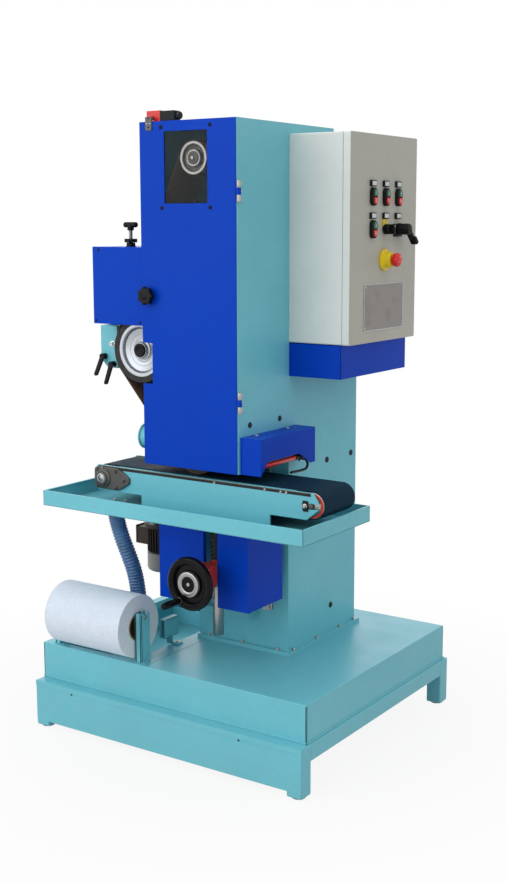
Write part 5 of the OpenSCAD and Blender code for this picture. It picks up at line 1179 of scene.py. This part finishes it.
def cabinet():
    p = Piece("cabinet_shell", "machine", "grey_paint", "grey", "cabinet_body")
    y0, y1, z0, z1 = 264, 664, 1222, 1822

    def frame_at(inset, r=0):
        """Outline of the cabinet's face, drawn in by an inset."""
        return rect(y0 + inset, z0 + inset, y1 - inset, z1 - inset, r)

    outer, inner = frame_at(0, 5), frame_at(2, 3.4)
    p.prism(outer, "x", HEAD_SIDE, 339.4)
    p.prism(outer, "x", 338, 515.6, 0.9, holes=[inner])
    # rolled gutter inside the opening and the back plate
    p.prism(inner, "x", 509, 511, 0.5, holes=[frame_at(16, 3)])
    p.box((340, y0 + 24, z0 + 30), (343, y1 - 24, z1 - 30), 0.6, key="zinc")
    # rows of devices on their rails: height, width, depth, material
    for z, width, depth, key in ((1330, 11, 44, "label"), (1520, 44, 88, "satin"), (1700, 18, 66, "label")):
        p.box((343, y0 + 50, z), (350, y1 - 50, z + 35), 0.8, key="zinc")
        face = 350 + depth
        for i in range(int(250 / width)):
            y = y0 + 62 + i * width
            p.box((350, y, z - 22), (face, y + width - 1.2, z + 57), 1.2, key=key)
            p.box((face - 6, y + width * 0.3, z - 6), (face + 3, y + width * 0.6, z + 41), 0.8, 1, "cast")
    # wiring ducts between the rows
    for z in (1268, 1424, 1612, 1776):
        p.box((343, y0 + 44, z), (393, y1 - 44, z + 28), 1.2, key="lid")
    for z in PANEL_HINGES:
        for low in (z, z + 40):
            p.rod(LID_PIN(low), LID_PIN(low + 20), 6, 0.8, 28, "chrome")
            p.box((496, 663.4, low), (516, 667, low + 20), 0.6, key="chrome")
        p.rod(LID_PIN(z), LID_PIN(z + 60), 2.95, 0.3, 20, "steel")
    p.done()
    d = Piece("cabinet_lid", "panel", "grey_paint", "grey", "cabinet_door")
    # the lid's face takes the darker copy of the cabinet grey, as painted shade
    d.prism(outer, "x", 538.6, PANEL, 1.1, 3, "lid")
    d.prism(outer, "x", 516.6, 540, 0.8, 3, holes=[inner])
    # a dark rubber band in the gap to the shell as painted shade, the gasket and the stiffening frame
    d.prism(frame_at(0.6, 4.6), "x", 515.4, 517.4, 0.2, key="seal", holes=[inner])
    d.sweep([(519.5, y, z) for y, z in frame_at(9, 6)], rect(-3.5, -4, 3.5, 4, 1.5, 2), "seal", RIGHT, True)
    d.prism(frame_at(2), "x", 523, 525, 0.4, key="lid", holes=[frame_at(15, 3)])
    for z in PANEL_HINGES:
        d.rod(LID_PIN(z + 20.5), LID_PIN(z + 39.5), 6, 0.8, 28, "chrome", 3.05)
        d.box((517, 663.6, z + 20.6), (537, 667, z + 39.4), 0.6, key="chrome")
    # bare nameplate held by four rivets
    plate = rect(344, 1256, 585, 1394, 2)
    d.prism(plate, "x", PANEL, 542.2, 0.3, key="plate")
    d.prism(plate, "x", 541.6, 542.9, 0.3, key="steel", holes=[rect(347, 1259, 582, 1391, 1)])
    for y in (353, 576):
        for z in (1265, 1385):
            d.pan((542.2, y, z), RIGHT, 2.6, 1.2)
    d.done()
    b = Piece("cabinet_console", "machine", "blue_paint", "blue", "cabinet_bracket")
    b.boxes([((HEAD_SIDE, 264, 1123), (514, 267, 1222)), ((HEAD_SIDE, 656, 1123), (514, 659, 1222)),
             ((511, 264, 1123), (514, 659, 1222)), ((HEAD_SIDE, 264, 1219), (514, 659, 1222))], 1.2, 3)
    b.done()


def half_cap(y, z, half, grow=0.0):
    """Outline of a push-button cap in the upper (1) or lower (-1) half of a double bezel."""
    r = 10 + grow
    points = [(-r, 1.5 - grow), (r, 1.5 - grow)] + arc(r, 15, 12)
    return [(y + u, z + half * v) for u, v in points]


BUTTONS = ((388, 1644), (464, 1644), (540, 1644), (388, 1551))


def controls():
    p = Piece("control_bezels", "panel", "black_plastic", "satin", "button_bezels")
    for y, z in BUTTONS:
        top = arc(14, 12, 12)
        outline = [(y + u, z + v) for u, v in top] + [(y - u, z - v) for u, v in top]
        p.prism(outline, "x", PANEL, 553, 1.6, 3, holes=[half_cap(y, z, 1, 0.5), half_cap(y, z, -1, 0.5)])
        p.prism(outline, "x", PANEL, 543, 0.3)
    # blank label holders
    for y in (388, 464, 540):
        for z in (1682, 1590):
            p.prism(rect(y - 15, z - 9, y + 15, z + 9, 2), "x", PANEL, 549, 1, 3)
            p.prism(rect(y - 12, z - 6, y + 12, z + 6, 0.6), "x", 548.4, 549.5, 0.2, key="label")
    base = rect(518, 1529, 562, 1567, 2)
    p.prism(base, "x", PANEL, 543.2, 0.6)
    p.prism(base, "x", 543, 549, 1, holes=[circle(ISOLATOR_Y, SWITCH_Z, 9.4, 28)])
    p.done()
    c = Piece("control_collars", "panel", "yellow_plastic", "yellow", "yellow_collars")
    c.lathe(STOP(PANEL), RIGHT, [(9.2, 2), (9.2, 0), (31, 0), (32, 1), (32, 6.4), (30.4, 8), (23.4, 8.4),
        (22.4, 10), (22.2, 28.6), (20.6, 30), (9.2, 30), (9.2, 2)], 56)
    c.prism(rect(450, 1561, 478, 1580.6, 2), "x", PANEL, 544, 0.6)
    c.done()
    for i, (y, z) in enumerate(BUTTONS):
        for colour, key, half in (("green", "green", 1), ("red", "scarlet", -1)):
            name = "%s_button_%d" % (colour, i + 1)
            b = Piece(name + "_cap", "%s_%d" % (colour, i + 1), colour + "_plastic", key, name)
            b.prism(half_cap(y, z, half), "x", 546.5, 556, 1.4, 3)
            if colour == "green":
                b.box((555.7, y - 1, z + 6.5), (556.3, y + 1, z + 15.5), 0.1, 1, "label")
            else:
                b.lathe((555.7, y, z - 11), RIGHT, [(3, 0), (3, 0.6), (4.4, 0.6), (4.4, 0), (3, 0)], 24,
                    "label")
            b.done()
    s = Piece("selector_grip", "selector", "black_plastic", "black", "selector_knob")
    s.rod(SELECTOR(543.2), SELECTOR(545.5), 8.9, 0.3, 28)
    s.lathe(SELECTOR(544.5), RIGHT, [(0, 0), (15, 0), (15, 13), (13.6, 16), (11, 17.5), (0, 17.5)], 40)
    s.box((555, 459.5, 1536.5), (576.5, 468.5, 1565.5), 3, 4)
    s.box((576.1, 463.2, 1556), (576.9, 464.8, 1564), 0.2, 1, "label")
    s.done()
    h = Piece("isolator_lever", "isolator", "black_plastic", "black", "isolator_handle")
    base = ISOLATOR(549.5)
    h.rod(ISOLATOR(544), ISOLATOR(550), 8.9, 0.3, 28)
    h.lathe(base, RIGHT, [(0, 0), (18, 0), (18, 6), (16.6, 9), (16.6, 33), (14.6, 37), (10, 38), (0, 38)], 40)
    turn = about(base, "X", 45)
    h.box((570.4, 533, 1491), (587.5, 547, 1551), 4, 4, matrix=turn)
    h.box((570.4, 533, 1491), (594.5, 547, 1518), 5, 4, matrix=turn)
    h.done()
    e = Piece("stop_button", "estop", "red_plastic", "scarlet", "estop_mushroom")
    e.rod(STOP(548.2), STOP(576), 8.9, 0.4, 28)
    e.lathe(STOP(575.5), RIGHT, [(0, 0), (15, 0), (19, 2.4), (20, 6.4), (20, 12), (19, 15.4), (16.4, 18.2),
        (12, 19.7), (0, 20)], 56)
    for i in range(3):
        e.box((594.4, 462.9, 1470), (595.4, 465.1, 1474), 0.2, 1, "label", about(STOP(0), "X", 120 * i))
    e.done()


for build in (drain_hose, stand, tank, head_details, plugs, door, window_fittings, hinges,
              star_knob, lock_parts, tension_wheel, upper_pulley, wheel_bracket, tracking_knobs,
              guard, tray, conveyor, drums, bearings, gearbox, jack, handwheel, roll_parts, hood,
              cabinet, controls):
    build()


# ---------- materials of the CAD nodes that stay
CAD_LOOKS = {
    "column": "teal", "hinge_pins": "steel", "guide_rails": "steel", "jack_screw": "turned",
    "grinding_motor": "grey", "contact_roller": "tyre", "jack_bracket": "teal", "carriage": "teal",
    "slide_guards": "blue", "clamp_lever_1": "black", "clamp_lever_2": "black", "conveyor_belt": "belt",
    "abrasive_belt": "grit",
}
for node, key in CAD_LOOKS.items():
    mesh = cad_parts[node].data
    if not mesh.materials:
        mesh.materials.append(None)
    for index in range(len(mesh.materials)):
        mesh.materials[index] = MAT[key]


# ---------- floor, world and lamps
FLOOR_TONE = (0.62, 0.62, 0.62, 1)
WORLD_TONE, WORLD_LIGHT = (0.93, 0.96, 1.0, 1), 0.56
WHITE = (1, 1, 1, 1)


def calc(tree, operation, a, b):
    """A math node on two sockets."""
    node = tree.nodes.new("ShaderNodeMath")
    node.operation = operation
    tree.links.new(a, node.inputs[0])
    tree.links.new(b, node.inputs[1])
    return node.outputs[0]


def seen(tree):
    """1 for the rays that look at the background: straight, mirrored or through glass."""
    light = tree.nodes.new("ShaderNodeLightPath")
    share = calc(tree, "MAXIMUM", light.outputs["Is Camera Ray"], light.outputs["Is Glossy Ray"])
    return calc(tree, "MAXIMUM", share, light.outputs["Is Transmission Ray"])


def blend(tree, share, a, b, target):
    """Mixes two shaders into the output's surface."""
    mix = tree.nodes.new("ShaderNodeMixShader")
    for socket, source in zip(mix.inputs, (share, a.outputs[0], b.outputs[0])):
        tree.links.new(source, socket)
    tree.links.new(mix.outputs[0], target.inputs["Surface"])


def stage():
    mat = bpy.data.materials.new("floor")
    mat.use_nodes = True
    tree = mat.node_tree
    nodes = tree.nodes
    nodes.remove(nodes["Principled BSDF"])
    diffuse = nodes.new("ShaderNodeBsdfDiffuse")
    diffuse.inputs["Color"].default_value = FLOOR_TONE
    glow = nodes.new("ShaderNodeEmission")
    glow.inputs["Color"].default_value = WHITE
    # near the machine a share of the shadowed floor shows, further out only white
    length = nodes.new("ShaderNodeVectorMath")
    length.operation = "LENGTH"
    tree.links.new(nodes.new("ShaderNodeNewGeometry").outputs["Position"], length.inputs[0])
    far = nodes.new("ShaderNodeMapRange")
    for key, value in (("From Min", 0.55), ("From Max", 1.5), ("To Min", 0.9), ("To Max", 1.0)):
        far.inputs[key].default_value = value
    tree.links.new(length.outputs["Value"], far.inputs["Value"])
    share = calc(tree, "MULTIPLY", seen(tree), far.outputs["Result"])
    blend(tree, share, diffuse, glow, nodes["Material Output"])
    bpy.ops.mesh.primitive_plane_add(size=60, location=(0, 0, -0.0005))
    floor = bpy.context.object
    floor.name = "floor"
    floor.data.materials.append(mat)

    world = bpy.data.worlds.new("studio")
    bpy.context.scene.world = world
    world.use_nodes = True
    tree = world.node_tree
    back = tree.nodes["Background"]
    back.inputs["Color"].default_value = WORLD_TONE
    back.inputs["Strength"].default_value = WORLD_LIGHT
    white = tree.nodes.new("ShaderNodeBackground")
    white.inputs["Color"].default_value = WHITE
    white.inputs["Strength"].default_value = 1.0
    blend(tree, seen(tree), back, white, tree.nodes["World Output"])


def lamp(name, place, target, size, power, colour=(1, 1, 1)):
    data = bpy.data.lights.new(name, "AREA")
    data.shape = "RECTANGLE"
    data.size, data.size_y = size
    data.energy = power
    data.color = colour
    obj = bpy.data.objects.new(name, data)
    obj.location = place
    obj.rotation_euler = (Vector(target) - Vector(place)).to_track_quat("-Z", "Y").to_euler()
    bpy.context.scene.collection.objects.link(obj)


stage()
lamp("front_key", (-1.6, -4.2, 2.6), (0, 0, 0.9), (5.0, 4.2), 112)
lamp("right_fill", (4.4, -0.6, 2.2), (0, 0, 1.0), (3.4, 3.6), 20, (1, 0.97, 0.93))
lamp("top_soft", (0.4, -0.4, 4.4), (0, 0, 0.8), (3.0, 3.0), 26)
lamp("back_fill", (-2.6, 3.6, 2.4), (0, 0, 1.0), (4.0, 3.6), 40)
bpy.context.scene.view_settings.view_transform = "Standard"
